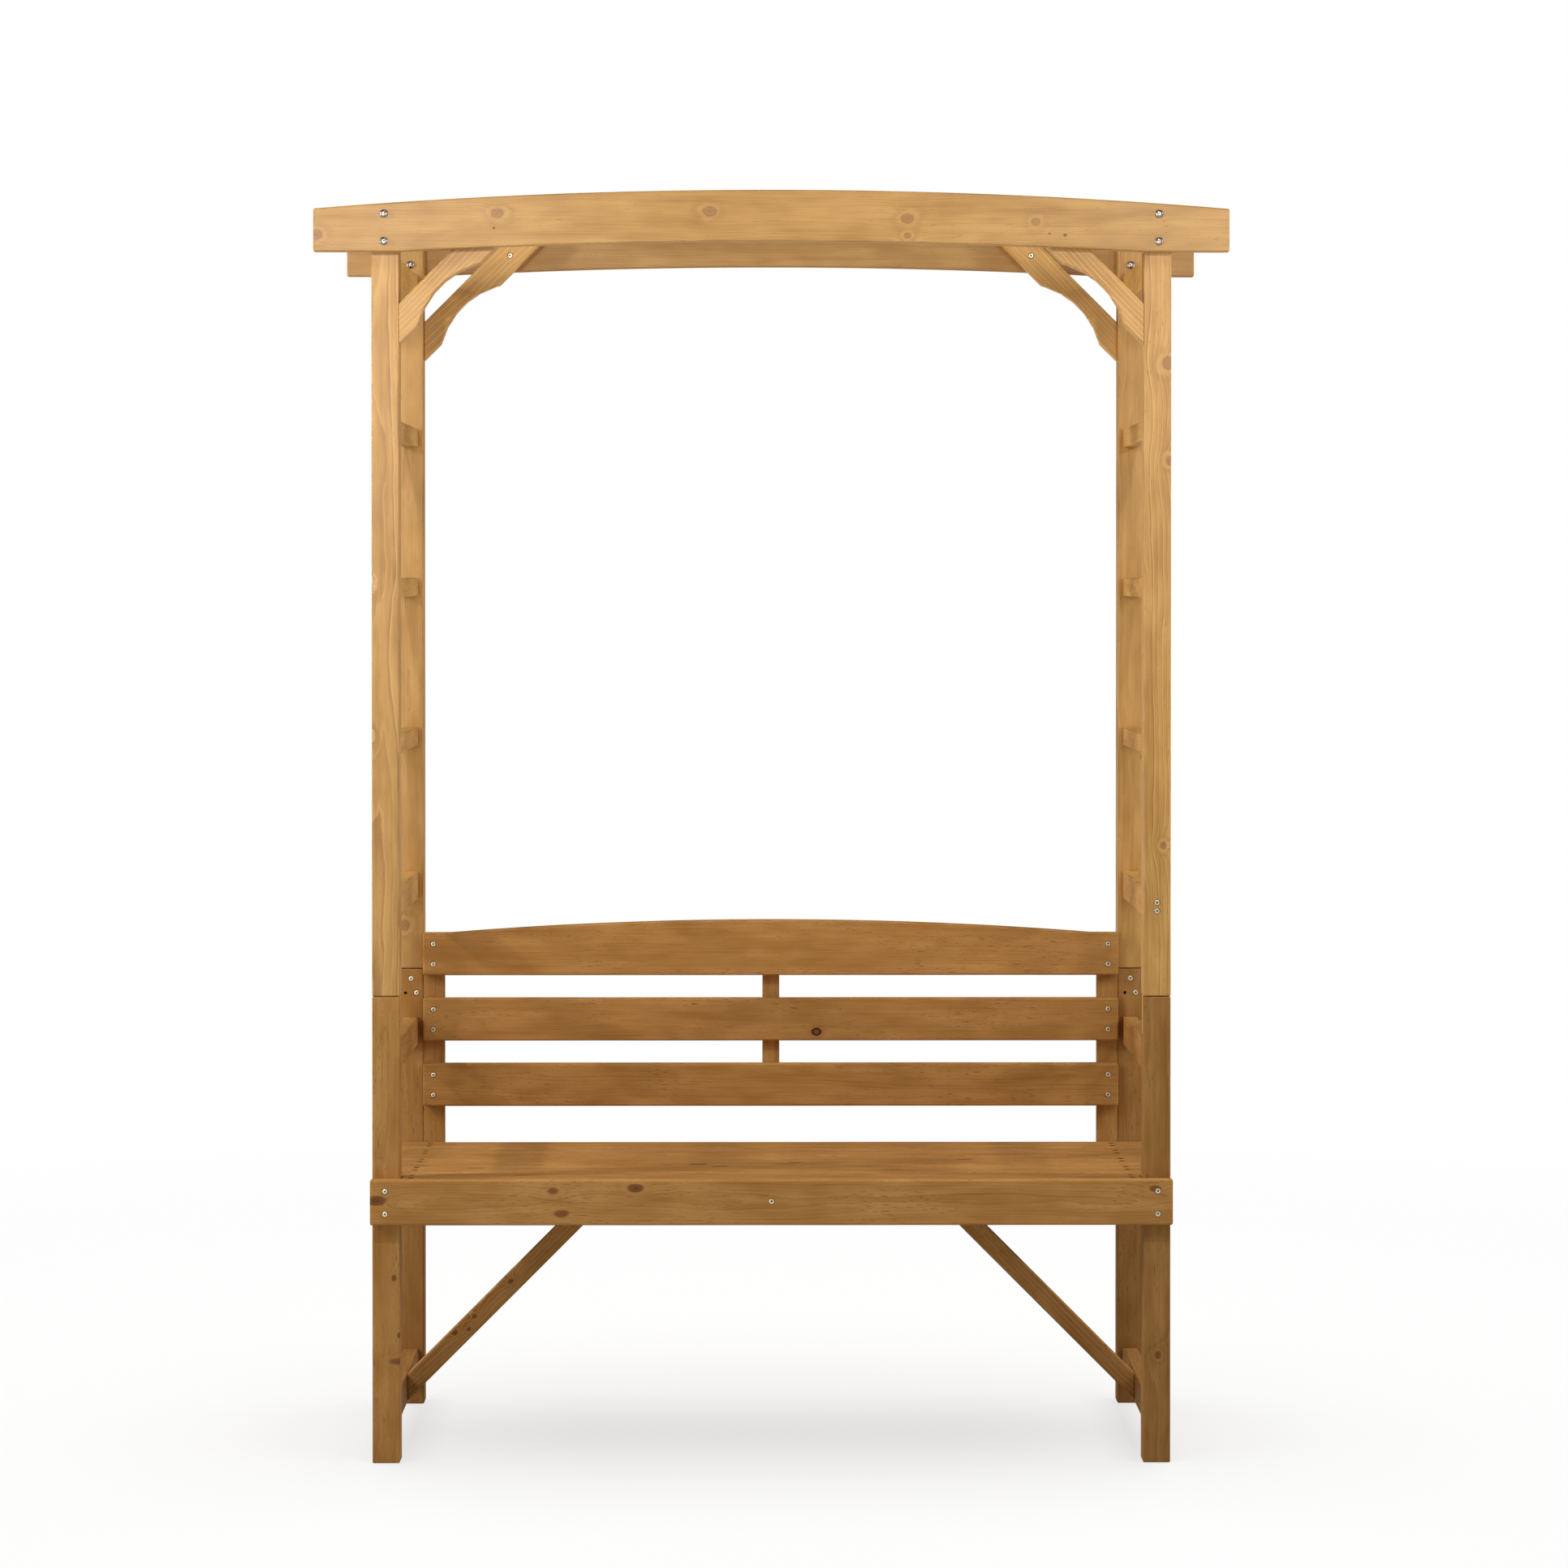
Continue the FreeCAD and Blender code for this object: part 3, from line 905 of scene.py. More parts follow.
class Dressing:
    """The nodes of one board's own material: rings, stain, end grain and knots, one over another.

    Attributes:
        finish: the finish whose colours it has.
        board: the board that is dressed.
        draw: the board's own random draws.
        graph: the material's nodes.
        spot: place in the board in mm, along it, across it and through it.
        shifted: the same, moved so that no two boards have the same patterns.
        sound: distance from the nearest sound knot in its own radii, or None.
        dead: the same for loose knots.
        bold: how far its figure goes beyond a plain board's.
        fibre: fine pattern along the grain.
        blotch: large patches of the stain.
        cloud: smaller patches of it.
        halo: distance from the nearest sound knot, made uneven, or None.
        lean: greatest slant of the pith in radians.
        pith_room: distance in mm added between the board and its pith.
        drift: how far in mm the rings stray over the board's length.
        swell: how many rings a knot pushes aside.
        plain: figure of a plain board.
        quarter_turn: direction of a quartered board's pith in radians.
        quarter_reach: its distance in half sections.
    """

    lean: ClassVar[float] = 0.013
    pith_room: ClassVar[float] = 6.0
    drift: ClassVar[float] = 26.0
    swell: ClassVar[float] = 2.6
    plain: ClassVar[float] = 0.40
    quarter_turn: ClassVar[float] = 0.12
    quarter_reach: ClassVar[float] = 3.2

    def __init__(self, finish: StainedFir, board: Board) -> None:
        """Lays out the places and patterns that the later steps share.

        Args:
            finish: the finish whose colours it has.
            board: the board that is dressed.
        """
        self.finish, self.board = finish, board
        self.draw = seeded("wood " + board.name)
        self.graph = Graph.of_material(board.name + "_wood")
        turn = tuple(Matrix(board.axes.T.tolist()).to_euler())
        self.spot = self.graph.mapped(self.graph.place(), "TEXTURE", tuple(board.centre() * MM), turn,
                                      (MM,) * 3)
        self.shifted = self.spot + tuple(float(part) for part in self.draw.uniform(-500, 500, 3))
        self.sound, self.dead = self._away(KnotKind.SOUND), self._away(KnotKind.DEAD)
        self.bold = max(0.0, board.figure - self.plain)
        self.fibre = self._noise(90, 1.4, detail=3.0, rough=0.60)
        self.blotch = self._noise(180, 30, detail=2.0, rough=0.55)
        self.cloud = self._noise(60, 20, 71.0)
        self.halo: Optional[Value] = None
        if self.sound is not None:
            self.halo = self.sound + (self.cloud - 0.5) * 3.4 + (self.fibre - 0.5) * 1.0

    def _noise(self, length: float, width: float, step: float = 0.0, detail: float = 1.0,
               rough: float = 0.5, output: str = "Fac") -> Any:
        """Random values about 0.5 that are drawn out along the grain.

        Args:
            length: size of a patch along the grain in mm.
            width: its size across the grain.
            step: sets the pattern apart from another of the same size.
            detail, rough, output: as for the graph's own noise.

        Returns:
            The random number or three of them.
        """
        where = self.shifted * (1 / length, 1 / width, 1 / width)
        return self.graph.noise(where + step if step else where, detail, rough, output)

    def _away(self, kind: KnotKind) -> Optional[Value]:
        """Distance from the nearest knot of a kind, in its own radii.

        Args:
            kind: which knots.

        Returns:
            The distance, or None where the board has no such knot.
        """
        board = self.board
        nearest: Optional[Value] = None
        for knot in (one for one in board.knots if one.kind is kind):
            place = board.axes @ (np.array(knot.place) - board.centre())
            scale = np.array([1.0 / knot.length, 1.0, 1.0]) / knot.radius
            scale[1 + int(np.argmax(np.abs(place[1:]) / board.half_section()))] /= knot.depth
            away = self.graph.mapped(self.spot, "POINT", tuple(-place * scale),
                                     scale=tuple(scale)).length()
            nearest = away if nearest is None else nearest.least(away)
        return nearest

    def _from_pith(self) -> Value:
        """Distance in mm from the pith, a line beside the board that slants a little.

        The place in the board is shifted to the pith, tilted and strayed by slow noise, and its
        length is taken without the part along the grain.

        Returns:
            The distance.
        """
        angle = self.draw.uniform(0, 2 * HALF_TURN)
        reach = self.draw.uniform(0.7, 1.9)
        if self.board.quartered:
            angle, reach = self.quarter_turn, self.quarter_reach
        room = reach * (self.board.half_section() + self.pith_room)
        pith = room * np.array([math.cos(angle), math.sin(angle)])
        tilt = self.draw.uniform(-self.lean, self.lean, 2)
        tree = self.graph.mapped(self.spot, "POINT", (0.0, float(pith[0]), float(pith[1])),
                                 (0.0, float(tilt[0]), float(tilt[1])))
        stray = self._noise(330, 120, detail=2.0, rough=0.45, output="Color") - 0.5
        return ((tree + stray * (0.0, self.drift, self.drift)) * (0.0, 1.0, 1.0)).length()

    def _rings(self) -> tuple[Value, Value]:
        """The growth rings.

        The number of rings is the distance from the pith over their spacing, plus a waver, plus the
        swell over one plus 0.22 times the squared distance from a knot.

        Returns:
            How dark the late wood is, and how pale the line where the next ring starts.
        """
        radius = self._from_pith()
        spacing = self.finish.ring * self.board.spread * float(self.draw.uniform(0.8, 1.35))
        phase = radius / spacing + self._noise(90, 16, detail=2.0) * 0.9
        for away in (self.sound, self.dead):
            if away is not None:
                phase = phase + self.swell / (1.0 + away * away * 0.22)
        step = phase.fraction()
        strength = self.graph.node("ShaderNodeTexNoise", {"noise_dimensions": "1D"},
                                   {"W": phase * 0.43 + float(self.draw.uniform(0, 90)),
                                    "Scale": 1.0, "Detail": 1.0, "Roughness": 0.5}, "Fac")
        strong = strength.ramp(0.36, 0.66, max(0.10, self.board.figure - 0.5), 1.0)
        ringed = step.ramp(0.45 + 0.35 * self.bold, 0.95) * step.ramp(1.0, 0.96) * strong
        if self.board.quartered:
            ringed = ringed * 0.45
        return ringed, (1.0 - step.ramp(0.0, 0.26)) * strong

    def _knots(self, colour: Field, height: Value, late: Colour) -> tuple[Field, Value]:
        """Lays the knots over the wood: hearts with rings in sound ones, black rims round loose ones.

        Args:
            colour: the wood's colour.
            height: its relief in mm.
            late: colour of this board's late wood.

        Returns:
            Colour and relief with the knots.
        """
        graph, finish, fibre, cloud = self.graph, self.finish, self.fibre, self.cloud
        if self.sound is not None:
            away = self.sound + ((fibre - 0.5) * (0.35 * finish.ragged)
                                 + (cloud - 0.5) * (0.9 * finish.ragged))
            inner = tuple(0.5 * (a + b) for a, b in zip(finish.knot, finish.early))
            rings = (away * 9.0).wave() * 0.5 + 0.5
            heart = graph.blend(rings * 0.6 + (cloud - 0.4) * 0.8, finish.knot, inner)
            colour = graph.blend(away.ramp(1.8, 1.0) * 0.30, colour, late)
            colour = graph.blend(away.ramp(1.10, 0.85) * 0.90, colour, heart)
            colour = graph.blend(away.ramp(0.42, 0.05) * 0.35, colour, finish.dash)
            rim = away.ramp(0.70, 0.94) * away.ramp(1.20, 1.0) * fibre.ramp(0.36, 0.55, 0.25, 1.0)
            colour = graph.blend(rim * 0.36, colour, finish.dash)
            height = height - rim * 0.10
        if self.dead is not None:
            away = self.dead + (fibre - 0.5) * 0.25
            colour = graph.blend(away.ramp(2.8, 1.0) * 0.42, colour, late)
            colour = graph.blend(away.ramp(1.06, 0.85), colour, finish.knot)
            rim = away.ramp(0.62, 0.86) * away.ramp(1.30, 1.04)
            colour = graph.blend(rim * 0.95, colour, tuple(0.35 * part for part in finish.dash))
            height = height - rim * 0.35
        return colour, height

    def material(self) -> bpy.types.Material:
        """Lays every pattern over the one before.

        Returns:
            The board's material.
        """
        graph, finish, board = self.graph, self.finish, self.board
        fibre, blotch, cloud = self.fibre, self.blotch, self.cloud
        ringed, pale_line = self._rings()
        # the board's factor times a small random tone; on some boards the factor is painted shade or
        # painted light
        tone_and_painted_light = board.shade * float(self.draw.uniform(0.97, 1.03))
        early, late = (tuple(tone_and_painted_light * part for part in wood) for wood in (finish.early, finish.late))
        grit = self._noise(15, 1.1)
        dashes = grit.ramp(finish.fleck, finish.fleck + 0.05) * blotch.ramp(0.42, 0.60, 0.15, 1.0)
        threads = self._noise(60, 0.9, 33.0).ramp(0.68, 0.75)
        streaks = self._noise(240, 1.6, 12.0).ramp(0.60, 0.74)
        stripe = self._noise(150, 5.0, 54.0)

        colour = graph.blend(ringed * (0.85 * board.figure), early, late)
        share = (0.5 + (fibre - 0.5) * 0.7 + (stripe - 0.5) * 0.6 + (blotch - 0.5) * 2.1
                 + (cloud - 0.5) * 1.3)
        colour = colour * graph.blend(share, (0.85, 0.81, 0.72), (1.14, 1.20, 1.36))
        pale = threads * 0.45 + pale_line * (0.80 * board.figure)
        if self.halo is not None:
            pale = pale + self.halo.ramp(2.1, 1.5) * self.sound.ramp(1.0, 1.25) * finish.halo
            brown = self.halo.ramp(1.8, 2.3) * self.halo.ramp(3.6, 2.6)
            colour = graph.blend(brown * (0.68 * finish.halo), colour, late)
        lift = 0.43 * self.bold
        bright = tuple((gain + lift) * part + 0.03 for gain, part in zip((1.18, 1.28, 1.5), early))
        colour = graph.blend(pale, colour, bright)
        colour = graph.blend(streaks * 0.20 + dashes * 0.62, colour, finish.dash)
        ends = abs(graph.facing().along(tuple(float(part) for part in board.axes[0])))
        colour = graph.blend(ends.ramp(0.75, 0.97) * 0.42, colour, late)
        height = (fibre - 0.5) * 0.05 - dashes * 0.10 - streaks * 0.02 + ringed * 0.02
        colour, height = self._knots(colour, height, late)
        rough = finish.matt + (fibre - 0.5) * 0.20 + dashes * 0.12
        return graph.coated({"Base Color": colour, "Roughness": rough, "Normal": graph.relief(height),
                             "Specular IOR Level": finish.gloss})


@dataclass(frozen=True)
class PlatedSteel:
    """Zinc or nickel plated steel with fine turning marks and a little dirt.

    Attributes:
        slot: the record's material slot.
        bright: colour of the clean plating.
        dull: colour where it is dirty.
        rough: roughness of the clean plating.
        look: what its material's name ends with.
    """

    slot: str
    bright: Colour
    dull: Colour
    rough: float
    look: str = "plating"

    def material(self) -> bpy.types.Material:
        """The plating, with cloudy dirt, fine turning marks and painted shade in the recess.

        Returns:
            The material.
        """
        graph = Graph.of_material(f"{self.slot}_{self.look}")
        where = graph.place()
        cloud = graph.noise(where * (420.0, 420.0, 420.0), 2.0, 0.55)
        fine = graph.noise(where * (3600.0, 3600.0, 3600.0), 1.0, 0.5)
        dirt = cloud.ramp(0.52, 0.74)
        colour = graph.blend(dirt * 0.55, self.bright, self.dull)
        # painted shade: the marked recess points are blended towards near black
        painted_recess_shade = graph.node("ShaderNodeAttribute", {"attribute_name": RECESS}, {}, "Fac")
        colour = graph.blend(painted_recess_shade * (0.85 + (cloud - 0.5) * 0.3), colour, srgb(34, 28, 22))
        rough = self.rough + dirt * 0.18 + (fine - 0.5) * 0.10
        return graph.coated({"Base Color": colour, "Metallic": 1.0, "Roughness": rough,
                             "Normal": graph.relief(fine * 0.012)})


FRAME_FIR = StainedFir("frame_fir", early=srgb(199, 148, 76), late=srgb(165, 112, 57),
                       knot=srgb(162, 115, 68), dash=srgb(112, 66, 32), ring=3.9, gloss=0.34, matt=0.48)
RUNG_FIR = replace(FRAME_FIR, gloss=0.10, matt=0.60)
BENCH_FIR = StainedFir("bench_fir", early=srgb(181, 130, 69), late=srgb(145, 97, 48),
                       knot=srgb(118, 74, 44), dash=srgb(86, 48, 24), ring=3.6, gloss=0.06, matt=0.70,
                       halo=0.14, fleck=0.655, ragged=2.2)
SCREW_STEEL = PlatedSteel("screw_steel", srgb(218, 203, 172), srgb(160, 143, 112), 0.38)
# the seat and bearer screws get a dark brown plating colour
SUNK_STEEL = PlatedSteel("screw_steel", srgb(120, 92, 58), srgb(88, 62, 38), 0.60, "tarnish")
BOLT_STEEL = PlatedSteel("bolt_steel", srgb(150, 138, 128), srgb(98, 82, 70), 0.22)


# Fixings: where the frame's screws, bolts and nuts are


@dataclass(frozen=True)
class Fixing:
    """One screw, bolt or nut.

    Attributes:
        crown: outermost point of its head in mm.
        outward: the way the head faces.
        length: from the crown to the far end in mm.
    """

    crown: np.ndarray
    outward: np.ndarray
    length: float


def islands(count: int, edges: np.ndarray) -> np.ndarray:
    """Numbers the separate parts of a mesh: every point takes the least number it is joined to.

    Args:
        count: number of points.
        edges: pairs of point numbers.

    Returns:
        For each point the least point number of its part.
    """
    label = np.arange(count)
    while True:
        lowest = np.minimum(label[edges[:, 0]], label[edges[:, 1]])
        new = label.copy()
        np.minimum.at(new, edges[:, 0], lowest)
        np.minimum.at(new, edges[:, 1], lowest)
        new = new[new]
        if np.array_equal(new, label):
            return label
        label = new


def fixings(node: str) -> list[Fixing]:
    """The separate fixings in one CAD node.

    The longest direction of each part is its axis, and the head is where it is widest.

    Args:
        node: name of a node of screws, bolts or nuts.

    Returns:
        One fixing for each part, ordered by height, then X, then Y.
    """
    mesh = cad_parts[node].data
    places = np.empty(3 * len(mesh.vertices))
    mesh.vertices.foreach_get("co", places)
    places = places.reshape(-1, 3) / MM
    edges = np.empty(2 * len(mesh.edges), dtype=int)
    mesh.edges.foreach_get("vertices", edges)
    corners, same = np.unique(np.round(places, 3), axis=0, return_inverse=True)
    label = islands(len(corners), same.reshape(-1)[edges].reshape(-1, 2))
    found = []
    for part in np.unique(label):
        points = corners[label == part]
        middle = (points.min(axis=0) + points.max(axis=0)) / 2
        spread = points - points.mean(axis=0)
        axis = np.linalg.svd(spread, full_matrices=False)[2][0]
        axis = np.round(axis, 3)
        axis /= np.linalg.norm(axis)
        rise = (points - middle) @ axis
        wide = np.linalg.norm(points - middle - rise[:, None] * axis, axis=1)
        outward = axis * np.sign(rise[np.argmax(wide)])
        reach = (points - middle) @ outward
        found.append(Fixing(middle + reach.max() * outward, outward, float(np.ptp(reach))))
    return sorted(found, key=lambda one: tuple(np.round(one.crown[[2, 0, 1]], 1)))


# The workshop: cuts, dresses and fits every piece


SCREW_NODES = ("post_joint_screws", "ladder_screws", "bracket_screws", "seat_screws", "bearer_screws",
               "seat_frame_screws", "back_slat_screws", "leg_screws", "brace_screws")


@dataclass
class Workshop:
    """Makes finished pieces: cuts joints and screw holes, dresses them and fits them to the frame.

    Attributes:
        mouth: radius of a countersink where it meets the face, in mm.
        seat: radius of the countersink under the screw head.
        shank: radius of the drilled hole.
        drilled: depth of a drilled hole.
        bore_sides: flat sides of a round cutter.
        crease: angle in degrees past which an edge is sharp.
        sunk: depth in mm under a screw's crown where its wood is looked for.
        slack: how far in mm outside a board that may lie.
        proud: height in mm of a countersink's mouth over the screw's crown.
        knotty_length: shortest board in mm that has knots on its hidden faces.
        knot_pitch: length of board in mm for each chance of such a knot.
        clear_share: share of these chances that stay clear.
        dead_share: share of these knots that are loose.
        back_depth: how deep they reach, in radii.
        screws: every screw of the object.
        made: how many pieces are finished.
    """

    mouth: float = 4.9
    seat: float = 4.4
    shank: float = 2.2
    drilled: float = 14.0
    bore_sides: int = 24
    crease: float = 34.0
    sunk: float = 3.0
    slack: float = 0.5
    proud: float = 0.3
    knotty_length: float = 300.0
    knot_pitch: float = 400.0
    clear_share: float = 0.35
    dead_share: float = 0.2
    back_depth: float = 0.6
    screws: list[Fixing] = field(default_factory=list)
    made: int = 0

    def __post_init__(self) -> None:
        """Reads where every screw is."""
        self.screws = [one for node in SCREW_NODES for one in fixings(node)]

    def fit(self, piece: bpy.types.Object, nodes: Sequence[str], slot: str) -> None:
        """Rides a piece on the frame in place of its nodes, and reports it.

        Args:
            piece: the piece, which isn't in the scene yet.
            nodes: the CAD nodes that it stands for.
            slot: the record's material slot; not used.
        """
        bpy.context.scene.collection.objects.link(piece)
        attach(piece, "root")
        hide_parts(*nodes)
        self.made += 1
        log.info("%s: %d faces", piece.name, len(piece.data.polygons))

    def hole(self, crown: np.ndarray, outward: np.ndarray, filled: bool = True) -> Shell:
        """The cutter of one screw hole.

        Args:
            crown: a point on the wood's face in mm.
            outward: the way the face looks.
            filled: with a countersink for a screw, or a plain hole left open.

        Returns:
            The cutter.
        """
        if filled:
            profile = ((self.shank, -self.drilled), (self.shank, -4.4), (self.seat, -2.0),
                       (self.mouth - 0.35, -0.7), (self.mouth, 0.0), (self.mouth + 0.4, 1.2))
        else:
            profile = ((self.shank - 0.2, -self.drilled), (self.shank, -0.8), (self.shank + 0.35, 0.0),
                       (self.shank + 0.6, 1.2))
        radius, height = np.array(profile).T
        rings = np.repeat(radius[:, None], self.bore_sides, axis=1)
        levels = np.repeat(height[:, None], self.bore_sides, axis=1)
        return turned(rings, levels, crown, outward, dress=Dress.BORE)

    def drill(self, board: Board) -> None:
        """Adds a cutter to a board for each screw whose head sits in it.

        Args:
            board: the board that is drilled.
        """
        local = np.array([board.axes @ (screw.crown - self.sunk * screw.outward - board.origin)
                          for screw in self.screws])
        low, high = board.limits()
        inside = ((local > low - self.slack) & (local < high + self.slack)).all(axis=1)
        for number in np.flatnonzero(inside):
            screw = self.screws[number]
            board.cutters.append(self.hole(screw.crown + self.proud * screw.outward, screw.outward))

    def scatter(self, board: Board) -> None:
        """Adds shallow knots to the face that looks away from the front and from the middle.

        Args:
            board: the board that gets them, unless it is short or cut aslant.
        """
        draw = seeded("knots " + board.name)
        centre = board.centre()
        low = np.array([board.stretches[0].start, *board.stretches[-1].low])
        high = np.array([board.stretches[-1].stop, *board.stretches[-1].high])
        if board.skew or high[0] - low[0] < self.knotty_length:
            return
        back = np.array([0.0, 1.0, 0.0])
        under = np.array([0.0, 0.0, -1.0])
        outer = np.array([np.sign(centre[0]), 0.0, 0.0])
        seat_slat = abs(board.axes[0][0]) > 0.5 and high[1] - low[1] > high[2] - low[2]
        away = board.axes @ (under if seat_slat else outer if abs(centre[0]) > 1.0 else back)
        face = int(np.argmax(np.abs(away)))
        for _ in range(int((high[0] - low[0]) / self.knot_pitch) + 1):
            spot = low + (high - low) * draw.uniform((0.1, 0.2, 0.2), (0.9, 0.8, 0.8))
            if draw.uniform() < self.clear_share:
                continue
            spot[face] = (high if away[face] > 0 else low)[face]
            kind = KnotKind.DEAD if draw.uniform() < self.dead_share else KnotKind.SOUND
            radius = float(draw.uniform(3.5, 8.0))
            board.knots.append(Knot(tuple(board.origin + spot @ board.axes), radius, kind,
                                    self.back_depth))

    def smooth(self, mesh: bpy.types.Mesh) -> None:
        """Shades a mesh as smooth, but for its creases."""
        mesh.polygons.foreach_set("use_smooth", np.ones(len(mesh.polygons), dtype=bool))
        mesh.set_sharp_from_angle(angle=math.radians(self.crease))

    def make(self, board: Board) -> None:
        """Turns a board into a finished piece, fitted to the frame.

        Args:
            board: its shape, joints, knots and finish.
        """
        self.drill(board)
        self.scatter(board)
        piece = bpy.data.objects.new(board.name + "_board", board.shell().mesh(board.name + "_board"))
        dresses = {Dress.FACE: board.finish.material(board), Dress.BORE: board.finish.bore(),
                   Dress.TORN: board.finish.torn()}
        for dress in Dress:
            piece.data.materials.append(dresses[dress])
        self.fit(piece, board.nodes, board.finish.slot)
        if board.cutters:
            tool = bpy.data.objects.new("cutter", joined(board.cutters, "cutter"))
            for dress in Dress:
                tool.data.materials.append(dresses[dress])
            bpy.context.scene.collection.objects.link(tool)
            cut = piece.modifiers.new("cut", "BOOLEAN")
            cut.operation, cut.solver, cut.object = "DIFFERENCE", "MANIFOLD", tool
            settled = piece.evaluated_get(bpy.context.evaluated_depsgraph_get())
            carved = bpy.data.meshes.new_from_object(settled)
            piece.modifiers.clear()
            piece.data = carved
            carved.name = piece.name
            bpy.data.objects.remove(tool)
        self.smooth(piece.data)
        sharpen_borders(piece.data)
        piece.data.update()


# Sub-assemblies


SIDES = (("left", -1.0), ("right", 1.0))
ENDS = (("front", -1.0), ("rear", 1.0))

# Distance of a post's middle from the object's middle, sideways and front to back, and half its
# side, in mm
POST_X = 592.0
POST_Y = 238.0
HALF_POST = 21.0


@dataclass(frozen=True)
class Corner:
    """One of the four places where a post stands.

    Attributes:
        side: left or right.
        hand: -1 at the left, 1 at the right.
        end_name: front or rear.
        end: -1 at the front, 1 at the rear.
    """

    side: str
    hand: float
    end_name: str
    end: float


@dataclass
class LadderSides:
    """The two sides: four posts in two lengths each, joined by rails and rungs.

    Attributes:
        shop: makes the pieces.
        post_arris: radius of the posts' edges in mm.
        rail_arris: radius of the rails' edges.
        tenon_arris: radius of a tenon's edges.
        joint_height: where a lower leg ends.
        joint_gap: open line between a leg and the post on it.
        tongue_half: half the thickness of an upper post's tongue.
        tongue_length: how deep the tongue reaches into the leg.
        tenon_length: how far a rail's tenon reaches into its post.
        tenon_half: half its thickness.
        tenon_shoulder: depth that it loses at each edge.
        fit: room round a joint.
        open_hole_aside: how far the open hole is to the left of a leg's middle.
        open_hole_drop: how far it is below the joint.
        chip_foot: height of the lower end of the torn chip.
        chip_length: its length.
        chip_radius: its greatest radius.
        chip_offset: how far its axis is in front of the post.
        chip_rings: rings along it.
        chip_sides: points round it.
        mark_depth: how deep the posts' knots reach, in radii.
        post_spread: distance between the posts' rings against the finish's own.
        front_figure: how strongly the front posts' rings show.
        rear_figure: the same for the rear posts.
        right_leg_shade: how much the right legs' colour is darkened.
        rear_shade: how much the rear posts' colour is darkened, painted shade.
        rung_shade: how much the colour of the rungs and of the top and foot rails is raised, painted
            light on faces that the lamps barely reach.
    """

    shop: Workshop
    post_arris: float = 2.2
    rail_arris: float = 2.0
    tenon_arris: float = 0.6
    joint_height: float = 717.0
    joint_gap: float = 1.1
    tongue_half: float = 7.0
    tongue_length: float = 60.0
    tenon_length: float = 12.0
    tenon_half: float = 7.5
    tenon_shoulder: float = 5.0
    fit: float = 0.3
    open_hole_aside: float = 9.0
    open_hole_drop: float = 39.5
    chip_foot: float = 1334.0
    chip_length: float = 52.0
    chip_radius: float = 13.5
    chip_offset: float = 8.0
    chip_rings: int = 9
    chip_sides: int = 12
    mark_depth: float = 3.0
    post_spread: float = 1.6
    front_figure: float = 0.85
    rear_figure: float = 0.40
    right_leg_shade: float = 0.82
    rear_shade: float = 0.94
    rung_shade: float = 1.10

    def rails(self, side: str) -> dict[str, tuple[str, StainedFir]]:
        """The rails of one side.

        Args:
            side: left or right.

        Returns:
            For each rail, the post length that it is housed in and its finish.
        """
        named = {f"{side}_lower_stretcher": ("lower_leg", BENCH_FIR),
                 f"{side}_arm_rail": ("lower_leg", BENCH_FIR),
                 f"{side}_ladder_foot_rail": ("upper_post", RUNG_FIR),
                 f"{side}_ladder_top_rail": ("upper_post", RUNG_FIR)}
        for step in (1, 2, 3):
            named[f"{side}_ladder_rung_{step}"] = ("upper_post", RUNG_FIR)
        return named

    def splinter(self) -> Shell:
        """Cutter of the splinter lost from the left post's outer edge.

        A spindle: its radius goes with the root of the sine of the way along it, widest low down,
        and its edge is ragged.

        Returns:
            The closed shell.
        """
        way = np.linspace(0.02, 0.98, self.chip_rings)
        ragged = seeded("splinter").uniform(0.84, 1.08, (self.chip_rings, self.chip_sides))
        radius = self.chip_radius * np.sqrt(np.sin(HALF_TURN * way ** 0.6))[:, None] * ragged
        height = np.repeat(self.chip_length * way[:, None], self.chip_sides, axis=1)
        corner = np.array([-POST_X - HALF_POST - 1.0, -POST_Y - HALF_POST - self.chip_offset,
                           self.chip_foot])
        return turned(radius, height, corner, np.array([0.0, 0.0, 1.0]), dress=Dress.TORN)

    def marks(self, name: str) -> list[Knot]:
        """The knots that show in the front face of a post length.

        Args:
            name: name of the post length.

        Returns:
            The knots, from their pixel columns and rows and their radii in mm.
        """
        spots = {"front_left_lower_leg": ((485, 1576, 3.4), (491, 1647, 3.0), (492, 1679, 4.0)),
                 "front_right_lower_leg": ((1428, 1672, 3.6),),
                 "front_right_upper_post": ((1439, 447, 8.0), (1442, 568, 5.0), (1434, 1042, 4.0)),
                 "rear_left_upper_post": ((499, 1140, 6.0),)}
        middle = POST_Y if name.startswith("rear") else -POST_Y
        return seen_knots(spots.get(name, ()), middle - HALF_POST, depth=self.mark_depth)

    def mortises(self, corner: Corner, length: str) -> list[Shell]:
        """Cutters for the rails housed in one post length.

        Args:
            corner: where the post stands.
            length: lower_leg or upper_post.

        Returns:
            One box for each rail.
        """
        cutters = []
        face = corner.end * (POST_Y - HALF_POST)
        deep = face + corner.end * (self.tenon_length + 2 * self.fit)
        for rail, (housed, _) in self.rails(corner.side).items():
            if housed != length:
                continue
            low, high = box_of(rail)
            middle = (low[0] + high[0]) / 2
            wide = self.tenon_half + self.fit
            ys = sorted((face - corner.end, deep))
            cutters.append(block((middle - wide, ys[0], low[2] + self.tenon_shoulder - self.fit),
                                 (middle + wide, ys[1], high[2] - self.tenon_shoulder + self.fit)))
        return cutters

